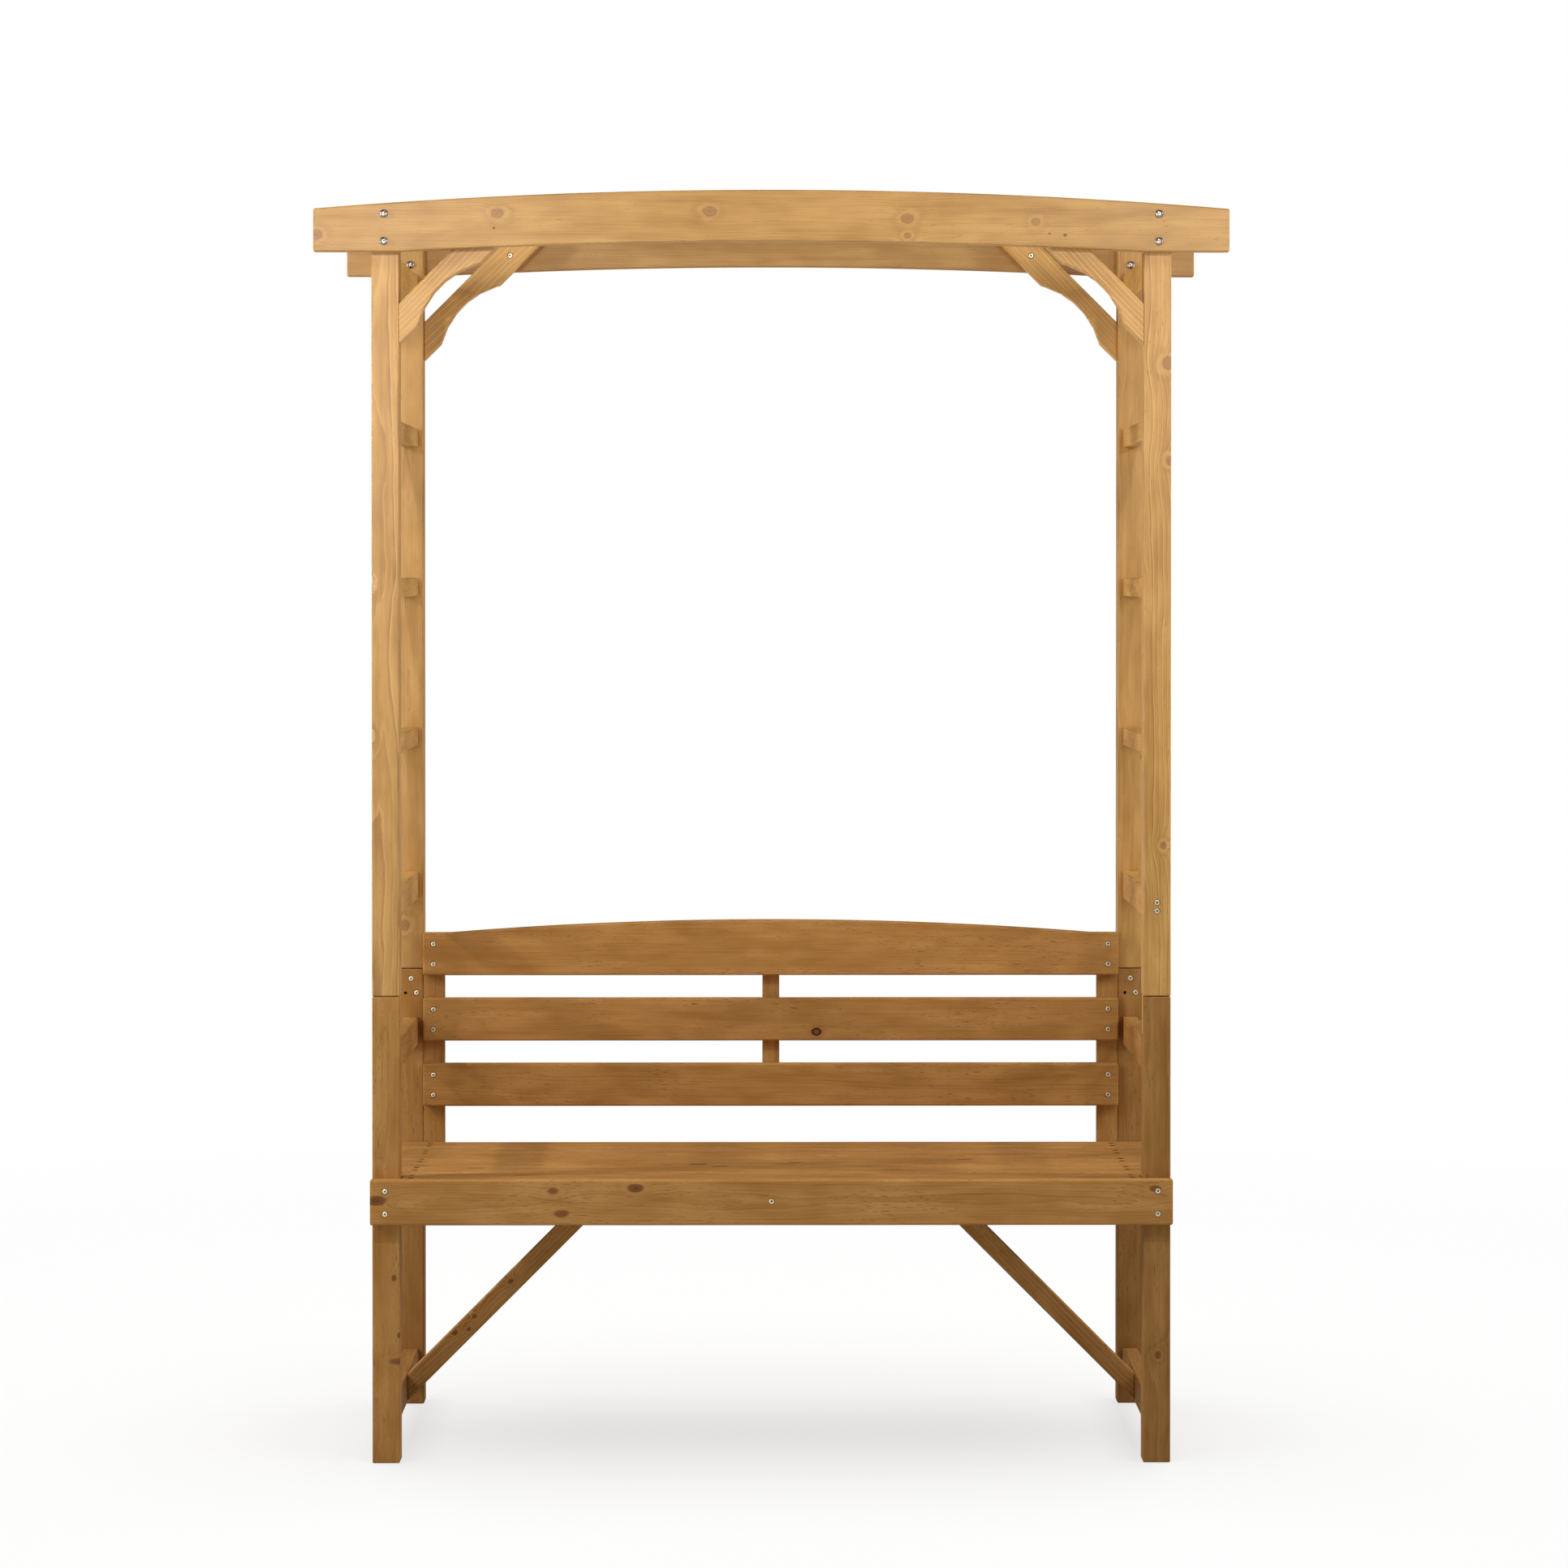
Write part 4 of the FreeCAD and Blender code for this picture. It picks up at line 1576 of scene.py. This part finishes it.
    def lower_leg(self, corner: Corner) -> Board:
        """A leg with a fork at its top and one screw hole left open.

        Args:
            corner: where it stands.

        Returns:
            The board.
        """
        name = f"{corner.end_name}_{corner.side}_lower_leg"
        board = straight(name, Grain.UPRIGHT, BENCH_FIR, self.post_arris,
                         shade=self.right_leg_shade if corner.hand > 0 else 1.0)
        half = self.tongue_half + self.fit
        x, y = corner.hand * POST_X, corner.end * POST_Y
        foot = self.joint_height - self.tongue_length - self.fit
        board.cutters.append(block((x - 2 * HALF_POST, y - half, foot),
                                   (x + 2 * HALF_POST, y + half, self.joint_height + 5)))
        board.cutters += self.mortises(corner, "lower_leg")
        board.knots += self.marks(name)
        open_hole = np.array([x - self.open_hole_aside, y - corner.end * HALF_POST,
                              self.joint_height - self.open_hole_drop])
        inward = np.array([0.0, -corner.end, 0.0])
        board.cutters.append(self.shop.hole(open_hole, inward, filled=False))
        return board

    def upper_post(self, corner: Corner) -> Board:
        """A post with a tongue at its foot.

        Args:
            corner: where it stands.

        Returns:
            The board.
        """
        name = f"{corner.end_name}_{corner.side}_upper_post"
        rear = corner.end > 0
        # the rear posts' colour is darkened, painted shade
        board = straight(name, Grain.UPRIGHT, FRAME_FIR, self.post_arris, spread=self.post_spread,
                         figure=self.rear_figure if rear else self.front_figure,
                         shade=self.rear_shade if rear else 1.0)
        whole = board.stretches[0]
        y = corner.end * POST_Y
        shoulder = self.joint_height + self.joint_gap
        tongue = Stretch(whole.start, shoulder, (whole.low[0], y - self.tongue_half),
                         (whole.high[0], y + self.tongue_half), 1.0)
        board.stretches = [tongue, Stretch(shoulder, whole.stop, whole.low, whole.high, 1.6)]
        board.cutters += self.mortises(corner, "upper_post")
        board.knots += self.marks(name)
        if name == "front_left_upper_post":
            board.cutters.append(self.splinter())
        return board

    def rail(self, name: str, finish: StainedFir) -> Board:
        """A rail with a stub tenon at each end.

        Args:
            name: name of the rail.
            finish: how it is dressed.

        Returns:
            The board, with a stretch for each tenon and one between the shoulders.
        """
        # the rungs and the top and foot rails have their colour raised, painted light
        board = straight(name, Grain.BACKWARD, finish, self.rail_arris,
                         shade=self.rung_shade if finish is RUNG_FIR else 1.0)
        whole = board.stretches[0]
        shoulder = POST_Y - HALF_POST
        middle = (whole.low[1] + whole.high[1]) / 2
        low = (whole.low[0] + self.tenon_shoulder, middle - self.tenon_half)
        high = (whole.high[0] - self.tenon_shoulder, middle + self.tenon_half)
        body = Stretch(-shoulder, shoulder, whole.low, whole.high, self.rail_arris)
        board.stretches = [Stretch(whole.start, -shoulder, low, high, self.tenon_arris), body,
                           Stretch(shoulder, whole.stop, low, high, self.tenon_arris)]
        return board

    def build(self) -> None:
        """Makes both sides."""
        for side, hand in SIDES:
            for end_name, end in ENDS:
                corner = Corner(side, hand, end_name, end)
                self.shop.make(self.lower_leg(corner))
                self.shop.make(self.upper_post(corner))
            for rail, (_, finish) in self.rails(side).items():
                self.shop.make(self.rail(rail, finish))


@dataclass(frozen=True)
class Strut:
    """The shape of a sawn strut that stands at 45 degrees in a corner.

    Places are measured from the corner: along the strut, inwards and up at once, and across it.

    Attributes:
        reach: how far it rises above its foot, in mm.
        width: across the strut.
        arris: radius of its edges.
        hollow: start, length and depth of the arc sawn from its inner edge, or None.
        figure: how strongly its growth rings show.
        spread: distance between its rings against the finish's own.
    """

    reach: float
    width: float
    arris: float
    hollow: Optional[Triple] = None
    figure: float = 1.15
    spread: float = 2.0

    def board(self, name: str, finish: StainedFir, hand: float, corner: np.ndarray,
              low_y: float, high_y: float) -> Board:
        """The strut as a board.

        Args:
            name: name of the node.
            finish: how it is dressed.
            hand: -1 at the left, 1 at the right.
            corner: the point from which run and rise are measured, in mm; its Y is not used.
            low_y: front face in mm.
            high_y: back face in mm.

        Returns:
            The board, whose foot is cut upright and whose head is cut level.
        """
        run, rise = np.array([-hand, 0.0, 0.0]), np.array([0.0, 0.0, 1.0])
        axes = np.array([run + rise, rise - run, [0.0, hand * math.sqrt(2), 0.0]]) / math.sqrt(2)
        chord = self.reach * math.sqrt(2)
        ys = sorted((hand * low_y, hand * high_y))
        stretch = Stretch(0.0, chord, (0.0, ys[0]), (self.width, ys[1]), self.arris)
        origin = np.array([corner[0], 0.0, corner[2]])

        def skew(across: np.ndarray) -> tuple[np.ndarray, np.ndarray]:
            """The foot is where along equals across; the head is where they add up to the chord."""
            return across, chord - across

        def bend(at: np.ndarray, low: np.ndarray, high: np.ndarray) -> tuple[np.ndarray, np.ndarray]:
            """Lifts the inner edge by a circular arc."""
            if self.hollow:
                start, length, depth = self.hollow
                along = np.linspace(0.0, chord, 2000)
                edge = arc_rise(along - start - length / 2, length / 2, depth)
                share = (along - edge) / (chord - 2 * edge)
                low = low.copy()
                low[:, 0] += np.interp(at / chord, share, edge)
            return low, high

        breaks = ()
        if self.hollow:
            breaks = (self.hollow[0], self.hollow[0] + self.hollow[1])
        return Board(name, (name,), finish, [stretch], axes, origin, bend, skew, breaks=breaks,
                     figure=self.figure, spread=self.spread, quartered=True)


@dataclass
class Crown:
    """The arched cross beams with their corner brackets.

    Attributes:
        shop: makes the pieces.
        top_rise: rise of a beam's top edge in mm.
        under_rise: rise of its underside between the posts.
        end_height: height of the top edge at the ends.
        half_span: half the clear width between the posts.
        arris: radius of the edges.
        bracket: shape of a bracket.
        bracket_foot: height of its foot.
        beam_shade: how much the front beam's colour is darkened.
        rear_beam_shade: how much the rear beam's colour is darkened, painted shade for the front beam's
            shadow on it.
        spots: pixel column and row of the front beam's knots, and their radii in mm.
        pinholes: the same for its black pinholes.
    """

    shop: Workshop
    top_rise: float = 28.8
    under_rise: float = 16.0
    end_height: float = 1924.0
    half_span: float = POST_X - HALF_POST
    arris: float = 2.6
    bracket: Strut = Strut(203.0, 45.0, 2.2, (28.0 * math.sqrt(2), 97.0 * math.sqrt(2), 19.0))
    bracket_foot: float = 1717.0
    beam_shade: float = 0.90
    rear_beam_shade: float = 0.80
    spots: tuple[Triple, ...] = ((613, 264, 6.8), (875, 261, 7.4), (1118, 270, 7.4), (1118, 291, 4.2),
                                 (1276, 274, 5.6), (390, 290, 6.6))
    pinholes: tuple[Triple, ...] = ((609, 281.5, 1.2), (1293, 288, 1.0), (1312, 290, 1.6))

    def beam(self, name: str) -> Board:
        """A beam with an arched top edge, and an arched underside between the posts.

        Args:
            name: name of the beam.

        Returns:
            The board.
        """
        board = straight(name, Grain.ACROSS, FRAME_FIR, self.arris)
        half = board.stretches[0].stop

        def bend(at: np.ndarray, low: np.ndarray, high: np.ndarray) -> tuple[np.ndarray, np.ndarray]:
            """Top edge and underside follow circular arcs."""
            low, high = low.copy(), high.copy()
            high[:, 1] = self.end_height + arc_rise(at, half, self.top_rise)
            low[:, 1] = low[:, 1].min() + arc_rise(at, self.half_span, self.under_rise)
            return low, high

        board.bend = bend
        # the rear beam's colour is darkened, painted shade for the front beam's shadow
        board.shade = self.beam_shade if name.startswith("front") else self.rear_beam_shade
        board.breaks = (-self.half_span, self.half_span)
        return board

    def build(self) -> None:
        """Makes both beams and the four brackets."""
        for end_name, end in ENDS:
            beam = self.beam(f"{end_name}_cross_beam")
            face = beam.stretches[0].low[0]
            if end < 0:
                beam.knots = seen_knots(self.spots, face)
                beam.knots += seen_knots(self.pinholes, face, kind=KnotKind.DEAD)
            self.shop.make(beam)
            for side, hand in SIDES:
                name = f"{end_name}_{side}_corner_bracket"
                low, high = box_of(name)
                corner = np.array([hand * self.half_span, 0.0, self.bracket_foot])
                self.shop.make(self.bracket.board(name, FRAME_FIR, hand, corner, low[1], high[1]))


@dataclass
class Bench:
    """The seat: five slats on hidden bearers, an apron, a rear rail and two slanted braces.

    Attributes:
        shop: makes the pieces.
        slat_arris: radius of a seat slat's edges in mm.
        apron_arris: radius of the apron's edges.
        bearer_arris: radius of the bearers' edges.
        notch_gap: room round a front post.
        notch_reach: how far the notch's cutter starts in front of the post.
        notch_low: height of the cutter's underside.
        notch_high: height of its top.
        brace: shape of a brace.
        brace_foot_x: how far a brace's foot is from the middle.
        front_shade: how much the front slat's colour is raised or lowered.
        apron_shade: the same for the apron.
        brace_marks: pixel column and row of the left brace's knots, and their radii in mm.
        apron_marks: the same for the apron.
        seat_marks: X, Y and radius in mm of the marks on the seat.
    """

    shop: Workshop
    slat_arris: float = 3.6
    apron_arris: float = 3.0
    bearer_arris: float = 1.8
    notch_gap: float = 2.0
    notch_reach: float = 8.0
    notch_low: float = 400.0
    notch_high: float = 460.0
    brace: Strut = Strut(344.37, 30.0, 2.0)
    brace_foot_x: float = 579.5
    front_shade: float = 0.89
    apron_shade: float = 1.05
    brace_marks: tuple[Triple, ...] = ((629, 1580, 4.0), (584, 1623, 3.2), (577, 1639, 3.0),
                                       (560, 1643, 3.6))
    apron_marks: tuple[Triple, ...] = ((680, 1468, 5.4), (783, 1465, 5.4), (690, 1496, 6.0),
                                       (463, 1480, 6.0), (1425, 1466, 4.5))
    seat_marks: tuple[Triple, ...] = ((-463.0, -127.0, 4.0), (-114.0, -81.0, 4.5), (-82.0, -109.0, 3.5),
                                      (37.0, -67.0, 3.5), (-24.0, -182.0, 3.0), (-540.0, -150.0, 3.0),
                                      (-548.0, -100.0, 3.0), (310.0, -30.0, 3.5),
                                      (190.0, -150.0, 3.0))

    def slats(self) -> list[Board]:
        """The five slats, the front one notched round the front posts.

        Returns:
            The boards from front to back.
        """
        boards = [straight(f"seat_slat_{number}", Grain.ACROSS, BENCH_FIR, self.slat_arris)
                  for number in range(1, 6)]
        boards[0].shade = self.front_shade
        for board in boards:
            whole = board.stretches[0]
            board.knots = [Knot((x, y, whole.high[1]), radius, depth=2.0, length=3.4)
                           for x, y, radius in self.seat_marks if whole.low[0] < y < whole.high[0]]
        half = HALF_POST + self.notch_gap
        front = -POST_Y - HALF_POST - self.notch_reach
        back = -POST_Y + HALF_POST + self.notch_gap
        for _, hand in SIDES:
            x = hand * POST_X
            boards[0].cutters.append(block((x - half, front, self.notch_low),
                                           (x + half, back, self.notch_high)))
        return boards

    def apron(self) -> Board:
        """The board along the front, with the marks that show in it."""
        board = straight("seat_apron", Grain.ACROSS, BENCH_FIR, self.apron_arris,
                         shade=self.apron_shade)
        board.knots = seen_knots(self.apron_marks, board.stretches[0].low[0], length=1.7)
        return board

    def build(self) -> None:
        """Makes the whole bench."""
        boards = self.slats() + [self.apron()]
        boards.append(straight("rear_seat_rail", Grain.ACROSS, BENCH_FIR, self.bearer_arris))
        for name in ("left_seat_bearer", "right_seat_bearer", "left_brace_bearer", "right_brace_bearer",
                     "centre_seat_bearer"):
            boards.append(straight(name, Grain.BACKWARD, BENCH_FIR, self.bearer_arris))
        for side, hand in SIDES:
            name = f"{side}_seat_brace"
            low, high = box_of(name)
            corner = np.array([hand * self.brace_foot_x, 0.0, low[2]])
            boards.append(self.brace.board(name, BENCH_FIR, hand, corner, low[1], high[1]))
            if hand < 0:
                boards[-1].knots = seen_knots(self.brace_marks, low[1])
        for board in boards:
            self.shop.make(board)


@dataclass
class Backrest:
    """Three back slats, the top one arched, on three battens.

    Attributes:
        shop: makes the pieces.
        slat_arris: radius of a slat's edges in mm.
        batten_arris: radius of a batten's edges.
        arch_rise: rise of the top slat's upper edge.
        land: straight part at each of its ends.
        middle_shade: how much the middle slat's colour is darkened, painted shade near the seat.
        lower_shade: the same for the lowest slat, which lies nearer the seat.
        middle_marks: pixel column and row of the middle slat's knot, and its radius in mm.
    """

    shop: Workshop
    slat_arris: float = 3.0
    batten_arris: float = 1.6
    arch_rise: float = 21.0
    land: float = 46.0
    middle_shade: float = 0.95
    lower_shade: float = 0.92
    middle_marks: tuple[Triple, ...] = ((1006, 1272, 5.6),)

    def top_slat(self) -> Board:
        """The top slat, whose upper edge rises in an arc between two short straight parts.

        Returns:
            The board.
        """
        board = straight("top_back_slat", Grain.ACROSS, BENCH_FIR, self.slat_arris)
        whole = board.stretches[0]
        shoulder = whole.high[1] - self.arch_rise

        def bend(at: np.ndarray, low: np.ndarray, high: np.ndarray) -> tuple[np.ndarray, np.ndarray]:
            """The upper edge follows a circular arc."""
            high = high.copy()
            high[:, 1] = shoulder + arc_rise(at, whole.stop - self.land, self.arch_rise)
            return low, high

        board.bend = bend
        board.breaks = (self.land - whole.stop, whole.stop - self.land)
        return board

    def build(self) -> None:
        """Makes the slats and the battens."""
        # the middle and lowest back slats are darkened, more towards the seat: painted shade
        middle = straight("middle_back_slat", Grain.ACROSS, BENCH_FIR, self.slat_arris,
                          shade=self.middle_shade)
        middle.knots = seen_knots(self.middle_marks, middle.stretches[0].low[0], kind=KnotKind.DEAD)
        boards = [self.top_slat(), middle,
                  straight("lower_back_slat", Grain.ACROSS, BENCH_FIR, self.slat_arris,
                           shade=self.lower_shade)]
        for name in ("left_back_batten", "right_back_batten", "centre_back_batten"):
            boards.append(straight(name, Grain.UPRIGHT, BENCH_FIR, self.batten_arris))
        for board in boards:
            self.shop.make(board)


@dataclass
class Hardware:
    """Countersunk screws, domed bolts and cap nuts.

    Attributes:
        shop: fits the pieces.
        head: radius of a screw's head in mm.
        shank: radius of its shank.
        recess_hub: radius of the cross in the head between its arms.
        recess_arm: how much further its arms reach.
        sides: points round a screw.
        dome: radius of a bolt's dome.
        dome_height: its height.
        lip: height of the upright rim under the dome.
        bolt_shank: radius of a bolt's shank.
        nut_sleeve: radius of a cap nut's sleeve.
        bolt_hub: radius of the cross in a dome between its arms.
        bolt_arm: how much further its arms reach.
        bolt_sides: points round a bolt.
        bolt_turn: turn of every bolt about its axis in radians.
    """

    shop: Workshop
    head: float = 4.15
    shank: float = 1.9
    recess_hub: float = 1.10
    recess_arm: float = 0.85
    sides: int = 32
    dome: float = 6.5
    dome_height: float = 4.0
    lip: float = 0.3
    bolt_shank: float = 2.9
    nut_sleeve: float = 4.4
    bolt_hub: float = 0.55
    bolt_arm: float = 2.2
    bolt_sides: int = 48
    bolt_turn: float = HALF_TURN / 4

    @staticmethod
    def cross(sides: int, hub: float, arm: float) -> np.ndarray:
        """Radius of the cross recess round the axis: hub plus arm times |cos 2t| cubed."""
        angle = np.linspace(0, 2 * HALF_TURN, sides, endpoint=False)
        return hub + arm * np.abs(np.cos(2 * angle)) ** 3

    @staticmethod
    def lathe(profile: Sequence[tuple[float, float]], rim: Sequence[tuple[np.ndarray, float]],
              sides: int) -> tuple[np.ndarray, np.ndarray]:
        """Rings of a turned form: round ones first, then ones with their own outline.

        Args:
            profile: radius and height of the round rings.
            rim: radii round the axis and height of each further ring.
            sides: points round the axis.

        Returns:
            Radius and height of every point.
        """
        radius = [np.full(sides, ring) for ring, _ in profile] + [outline for outline, _ in rim]
        height = [np.full(sides, level) for _, level in (*profile, *rim)]
        return np.array(radius), np.array(height)

    def screw(self, fixing: Fixing, spin: float) -> Shell:
        """A countersunk screw whose tip is a short cone, below a head with a cross recess.

        Args:
            fixing: where it is.
            spin: its turn about its axis in radians.

        Returns:
            The closed shell.
        """
        tip = -fixing.length
        profile = ((0.15, tip), (self.shank, tip + 4.0), (self.shank, -3.4), (self.head - 0.25, -1.0),
                   (self.head, -0.62), (self.head, -0.36), (self.head - 0.14, -0.12),
                   (self.head - 0.45, 0.0))
        outline = self.cross(self.sides, self.recess_hub, self.recess_arm)
        rim = ((outline * 1.06, -0.02), (outline, -0.16), (outline * 0.86, -1.5),
               (outline * 0.30, -2.1))
        radius, height = self.lathe(profile, rim, self.sides)
        return turned(radius, height, fixing.crown, fixing.outward, spin)

    def bolt(self, fixing: Fixing, sleeve: float, spin: float) -> Shell:
        """A bolt or nut with a cross recess, and a low dome that is part of an ellipse.

        Args:
            fixing: where it is.
            sleeve: radius of its round shank or sleeve in mm.
            spin: its turn about its axis in radians.

        Returns:
            The closed shell.
        """
        turn = np.linspace(0.0, 0.80, 7) * HALF_TURN / 2
        foot = -self.dome_height
        rise = self.dome_height - self.lip
        profile = [(sleeve - 0.3, -fixing.length), (sleeve, -fixing.length + 0.5), (sleeve, foot),
                   (self.dome - 0.25, foot), (self.dome, foot + self.lip)]
        profile += [(self.dome * math.cos(a), foot + self.lip + rise * math.sin(a)) for a in turn[1:]]
        outline = self.cross(self.bolt_sides, self.bolt_hub, self.bolt_arm)
        top = profile[-1][1]
        rim = ((outline * 1.07, top - 0.02), (outline, top - 0.25), (outline * 0.8, top - 1.8),
               (outline * 0.3, top - 2.2))
        radius, height = self.lathe(profile, rim, self.bolt_sides)
        return turned(radius, height, fixing.crown, fixing.outward, spin)

    def build(self) -> None:
        """Makes one piece for each node of fixings."""
        steels = {steel: steel.material() for steel in (SCREW_STEEL, SUNK_STEEL, BOLT_STEEL)}
        for node in SCREW_NODES:
            draw = seeded(node)
            shells = [self.screw(one, draw.uniform(0, HALF_TURN)) for one in fixings(node)]
            steel = SUNK_STEEL if node in ("seat_screws", "bearer_screws") else SCREW_STEEL
            self.finish(node, shells, self.sides, steel, steels)
        for node, sleeve in (("beam_bolts", self.bolt_shank), ("beam_cap_nuts", self.nut_sleeve)):
            shells = [self.bolt(one, sleeve, self.bolt_turn) for one in fixings(node)]
            self.finish(node, shells, self.bolt_sides, BOLT_STEEL, steels)

    def finish(self, node: str, shells: Sequence[Shell], sides: int, steel: PlatedSteel,
               steels: dict[PlatedSteel, bpy.types.Material]) -> None:
        """Joins the shells of a node in one piece and dresses it.

        The points of each shell's last three rings line its recess, and are marked for painted shade
        there.

        Args:
            node: name of the node.
            shells: its fixings.
            sides: points round each.
            steel: the finish.
            steels: the material of each finish.
        """
        piece = bpy.data.objects.new(node + "_round", joined(shells, node + "_round"))
        # marks the recess points, which the steel material darkens as painted shade
        recess_shade_mask = np.concatenate([np.arange(len(shell.points)) >= len(shell.points) - 3 * sides
                                 for shell in shells]).astype(float)
        piece.data.attributes.new(RECESS, "FLOAT", "POINT").data.foreach_set("value", recess_shade_mask)
        piece.data.materials.append(steels[steel])
        self.shop.smooth(piece.data)
        self.shop.fit(piece, (node,), steel.slot)


@dataclass(frozen=True)
class Lamp:
    """A soft lamp, which the camera does not see.

    Attributes:
        name: its name.
        place: where it hangs, in metres.
        size: width and height of its pane.
        power: in watts.
        aim: the point that it faces.
        lights: whether matt surfaces get its light.
        mirrored: whether reflections show it.
    """

    name: str
    place: Triple
    size: tuple[float, float]
    power: float
    aim: Triple = (0.0, 0.0, 1.2)
    lights: bool = True
    mirrored: bool = True

    def hang(self) -> bpy.types.Object:
        """Makes the lamp and turns it to its aim.

        Returns:
            The lamp in the scene.
        """
        data = bpy.data.lights.new(self.name, "AREA")
        data.shape, data.energy = "RECTANGLE", self.power
        data.size, data.size_y = self.size
        lamp = bpy.data.objects.new(self.name, data)
        back = np.array(self.place) - np.array(self.aim)
        back /= np.linalg.norm(back)
        right = np.cross([0.0, 0.0, 1.0], back)
        width = np.linalg.norm(right)
        right = right / width if width > 1e-6 else np.array([1.0, 0.0, 0.0])
        turn = Matrix(np.column_stack([right, np.cross(back, right), back]).tolist())
        lamp.location = self.place
        lamp.rotation_euler = turn.to_euler()
        lamp.visible_camera = False
        lamp.visible_diffuse = self.lights
        lamp.visible_glossy = self.mirrored
        bpy.context.scene.collection.objects.link(lamp)
        return lamp


LAMPS = (
    Lamp("left_key", (-0.95, -1.85, 1.94), (0.12, 0.12), 1.4, (-0.3, 0.0, 1.2)),
    Lamp("left_far_key", (-2.0, -2.6, 1.6), (0.16, 0.16), 1.2),
    Lamp("left_inner_key", (-0.73, -1.40, 2.13), (0.05, 0.05), 6.6, (-0.4, 0.0, 1.4)),
    Lamp("right_key", (1.1, -1.5, 1.8), (0.10, 0.10), 3.0, (0.55, 0.0, 1.4)),
    Lamp("right_inner_key", (0.73, -1.40, 2.13), (0.05, 0.05), 4.2, (0.4, 0.0, 1.4)),
    Lamp("left_side_lamp", (-2.5, -0.7, 2.4), (0.12, 0.12), 24.0),
    Lamp("left_low_side_lamp", (-2.5, -0.6, 1.5), (0.15, 0.15), 14.0),
    Lamp("right_side_lamp", (2.5, -0.7, 2.4), (0.12, 0.12), 14.0),
    Lamp("right_low_side_lamp", (2.5, -0.6, 1.5), (0.15, 0.15), 8.0),
    Lamp("left_back_lamp", (-3.0, 0.6, 1.5), (0.2, 0.2), 12.0),
    Lamp("right_back_lamp", (2.5, -0.2, 1.6), (0.2, 0.2), 8.0),
    Lamp("left_low_lamp", (-1.1, -2.6, 0.6), (0.3, 0.3), 5.3),
    Lamp("top_lamp", (0.4, -2.6, 4.0), (0.3, 0.3), 9.0),
    Lamp("overhead_lamp", (0.0, -1.5, 4.0), (0.4, 0.4), 3.0),
    Lamp("left_sheen", (-0.75, -1.80, 1.66), (0.3, 0.4), 12.0, (-0.59, -0.26, 1.6), lights=False),
    Lamp("right_sheen", (0.75, -1.80, 1.80), (0.3, 0.4), 6.5, (0.59, -0.26, 1.7), lights=False),
    Lamp("rear_lamp", (0.0, 3.2, 0.8), (0.6, 0.6), 56.0, (0.0, 0.0, 1.0), mirrored=False))
FLOOR_WASH = Lamp("floor_wash", (0.0, 0.2, 4.5), (8.0, 8.0), 394.0, (0.0, 0.2, 0.0))


@dataclass
class Studio:
    """Pale floor, white surroundings and soft lamps.

    Attributes:
        floor_reach: half the width of the floor in metres.
        fade_start: distance at which the floor starts to fade into the white surroundings.
        fade_stop: distance at which it has.
        fade_least: how far it has faded before that.
        floor_seen: the floor's colour as the camera and reflections see it.
        floor_dim: its colour as it lights the object.
        daylight: strength of the surroundings as light.
        mirrored: their strength in reflections.
    """

    floor_reach: float = 7.0
    fade_start: float = 1.2
    fade_stop: float = 4.0
    fade_least: float = 0.68
    floor_seen: Colour = (0.90, 0.90, 0.895)
    floor_dim: Colour = (0.46, 0.46, 0.454)
    daylight: float = 0.19
    mirrored: float = 0.30

    def surroundings(self) -> None:
        """White as seen by the camera and in reflections, dimmer as light."""
        world = bpy.data.worlds.new("studio")
        bpy.context.scene.world = world
        graph = Graph(world)
        seen = graph.ray("Is Camera Ray").most(graph.ray("Is Transmission Ray"))
        level = seen.most(graph.ray("Is Glossy Ray") * self.mirrored).most(self.daylight)
        white = graph.node("ShaderNodeBackground", {}, {"Color": (1.0, 1.0, 1.0), "Strength": level},
                           "Background")
        graph.finish(white, "ShaderNodeOutputWorld")

    def floor(self) -> None:
        """A matt white sheet that brightens into the surroundings with distance from the middle."""
        graph = Graph.of_material("studio_floor")
        far = graph.place().length().ramp(self.fade_start, self.fade_stop, self.fade_least, 1.0)
        seen = graph.ray("Is Camera Ray")
        for kind in ("Is Glossy Ray", "Is Transmission Ray"):
            seen = seen.most(graph.ray(kind))
        pale = graph.blend(seen, self.floor_dim, self.floor_seen)
        matt = graph.node("ShaderNodeBsdfDiffuse", {}, {"Color": pale}, "BSDF")
        glow = graph.node("ShaderNodeEmission", {}, {"Color": (1.0, 1.0, 1.0), "Strength": 1.0},
                          "Emission")
        faded = graph.node("ShaderNodeMixShader", {},
                           {"Fac": far * seen, "Shader": matt, "Shader_001": glow}, "Shader")
        reach = self.floor_reach / MM
        sheet = Shell(np.array([[-reach, -reach, 0.0], [reach, -reach, 0.0], [reach, reach, 0.0],
                                [-reach, reach, 0.0]]), [[0, 1, 2, 3]])
        floor = bpy.data.objects.new("floor", sheet.mesh("floor"))
        floor.data.materials.append(graph.finish(faded))
        bpy.context.scene.collection.objects.link(floor)

    def build(self) -> None:
        """Sets up floor, surroundings, lamps and colour management."""
        bpy.context.scene.view_settings.view_transform = "Standard"
        self.floor()
        self.surroundings()
        floor = bpy.data.objects["floor"]
        not_floor = bpy.data.collections.new("not_floor")
        not_floor.objects.link(floor)
        not_floor.collection_objects[0].light_linking.link_state = "EXCLUDE"
        for lamp in LAMPS:
            lamp.hang().light_linking.receiver_collection = not_floor
        floor_only = bpy.data.collections.new("floor_only")
        floor_only.objects.link(floor)
        FLOOR_WASH.hang().light_linking.receiver_collection = floor_only
        VIEW.camera()


def main() -> None:
    """Builds every sub-assembly."""
    logging.basicConfig(level=logging.INFO, format="%(message)s")
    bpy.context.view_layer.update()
    Studio().build()
    shop = Workshop()
    for assembly in (LadderSides(shop), Crown(shop), Bench(shop), Backrest(shop), Hardware(shop)):
        assembly.build()
    log.info("%d pieces", shop.made)


if __name__ == "__main__":
    main()
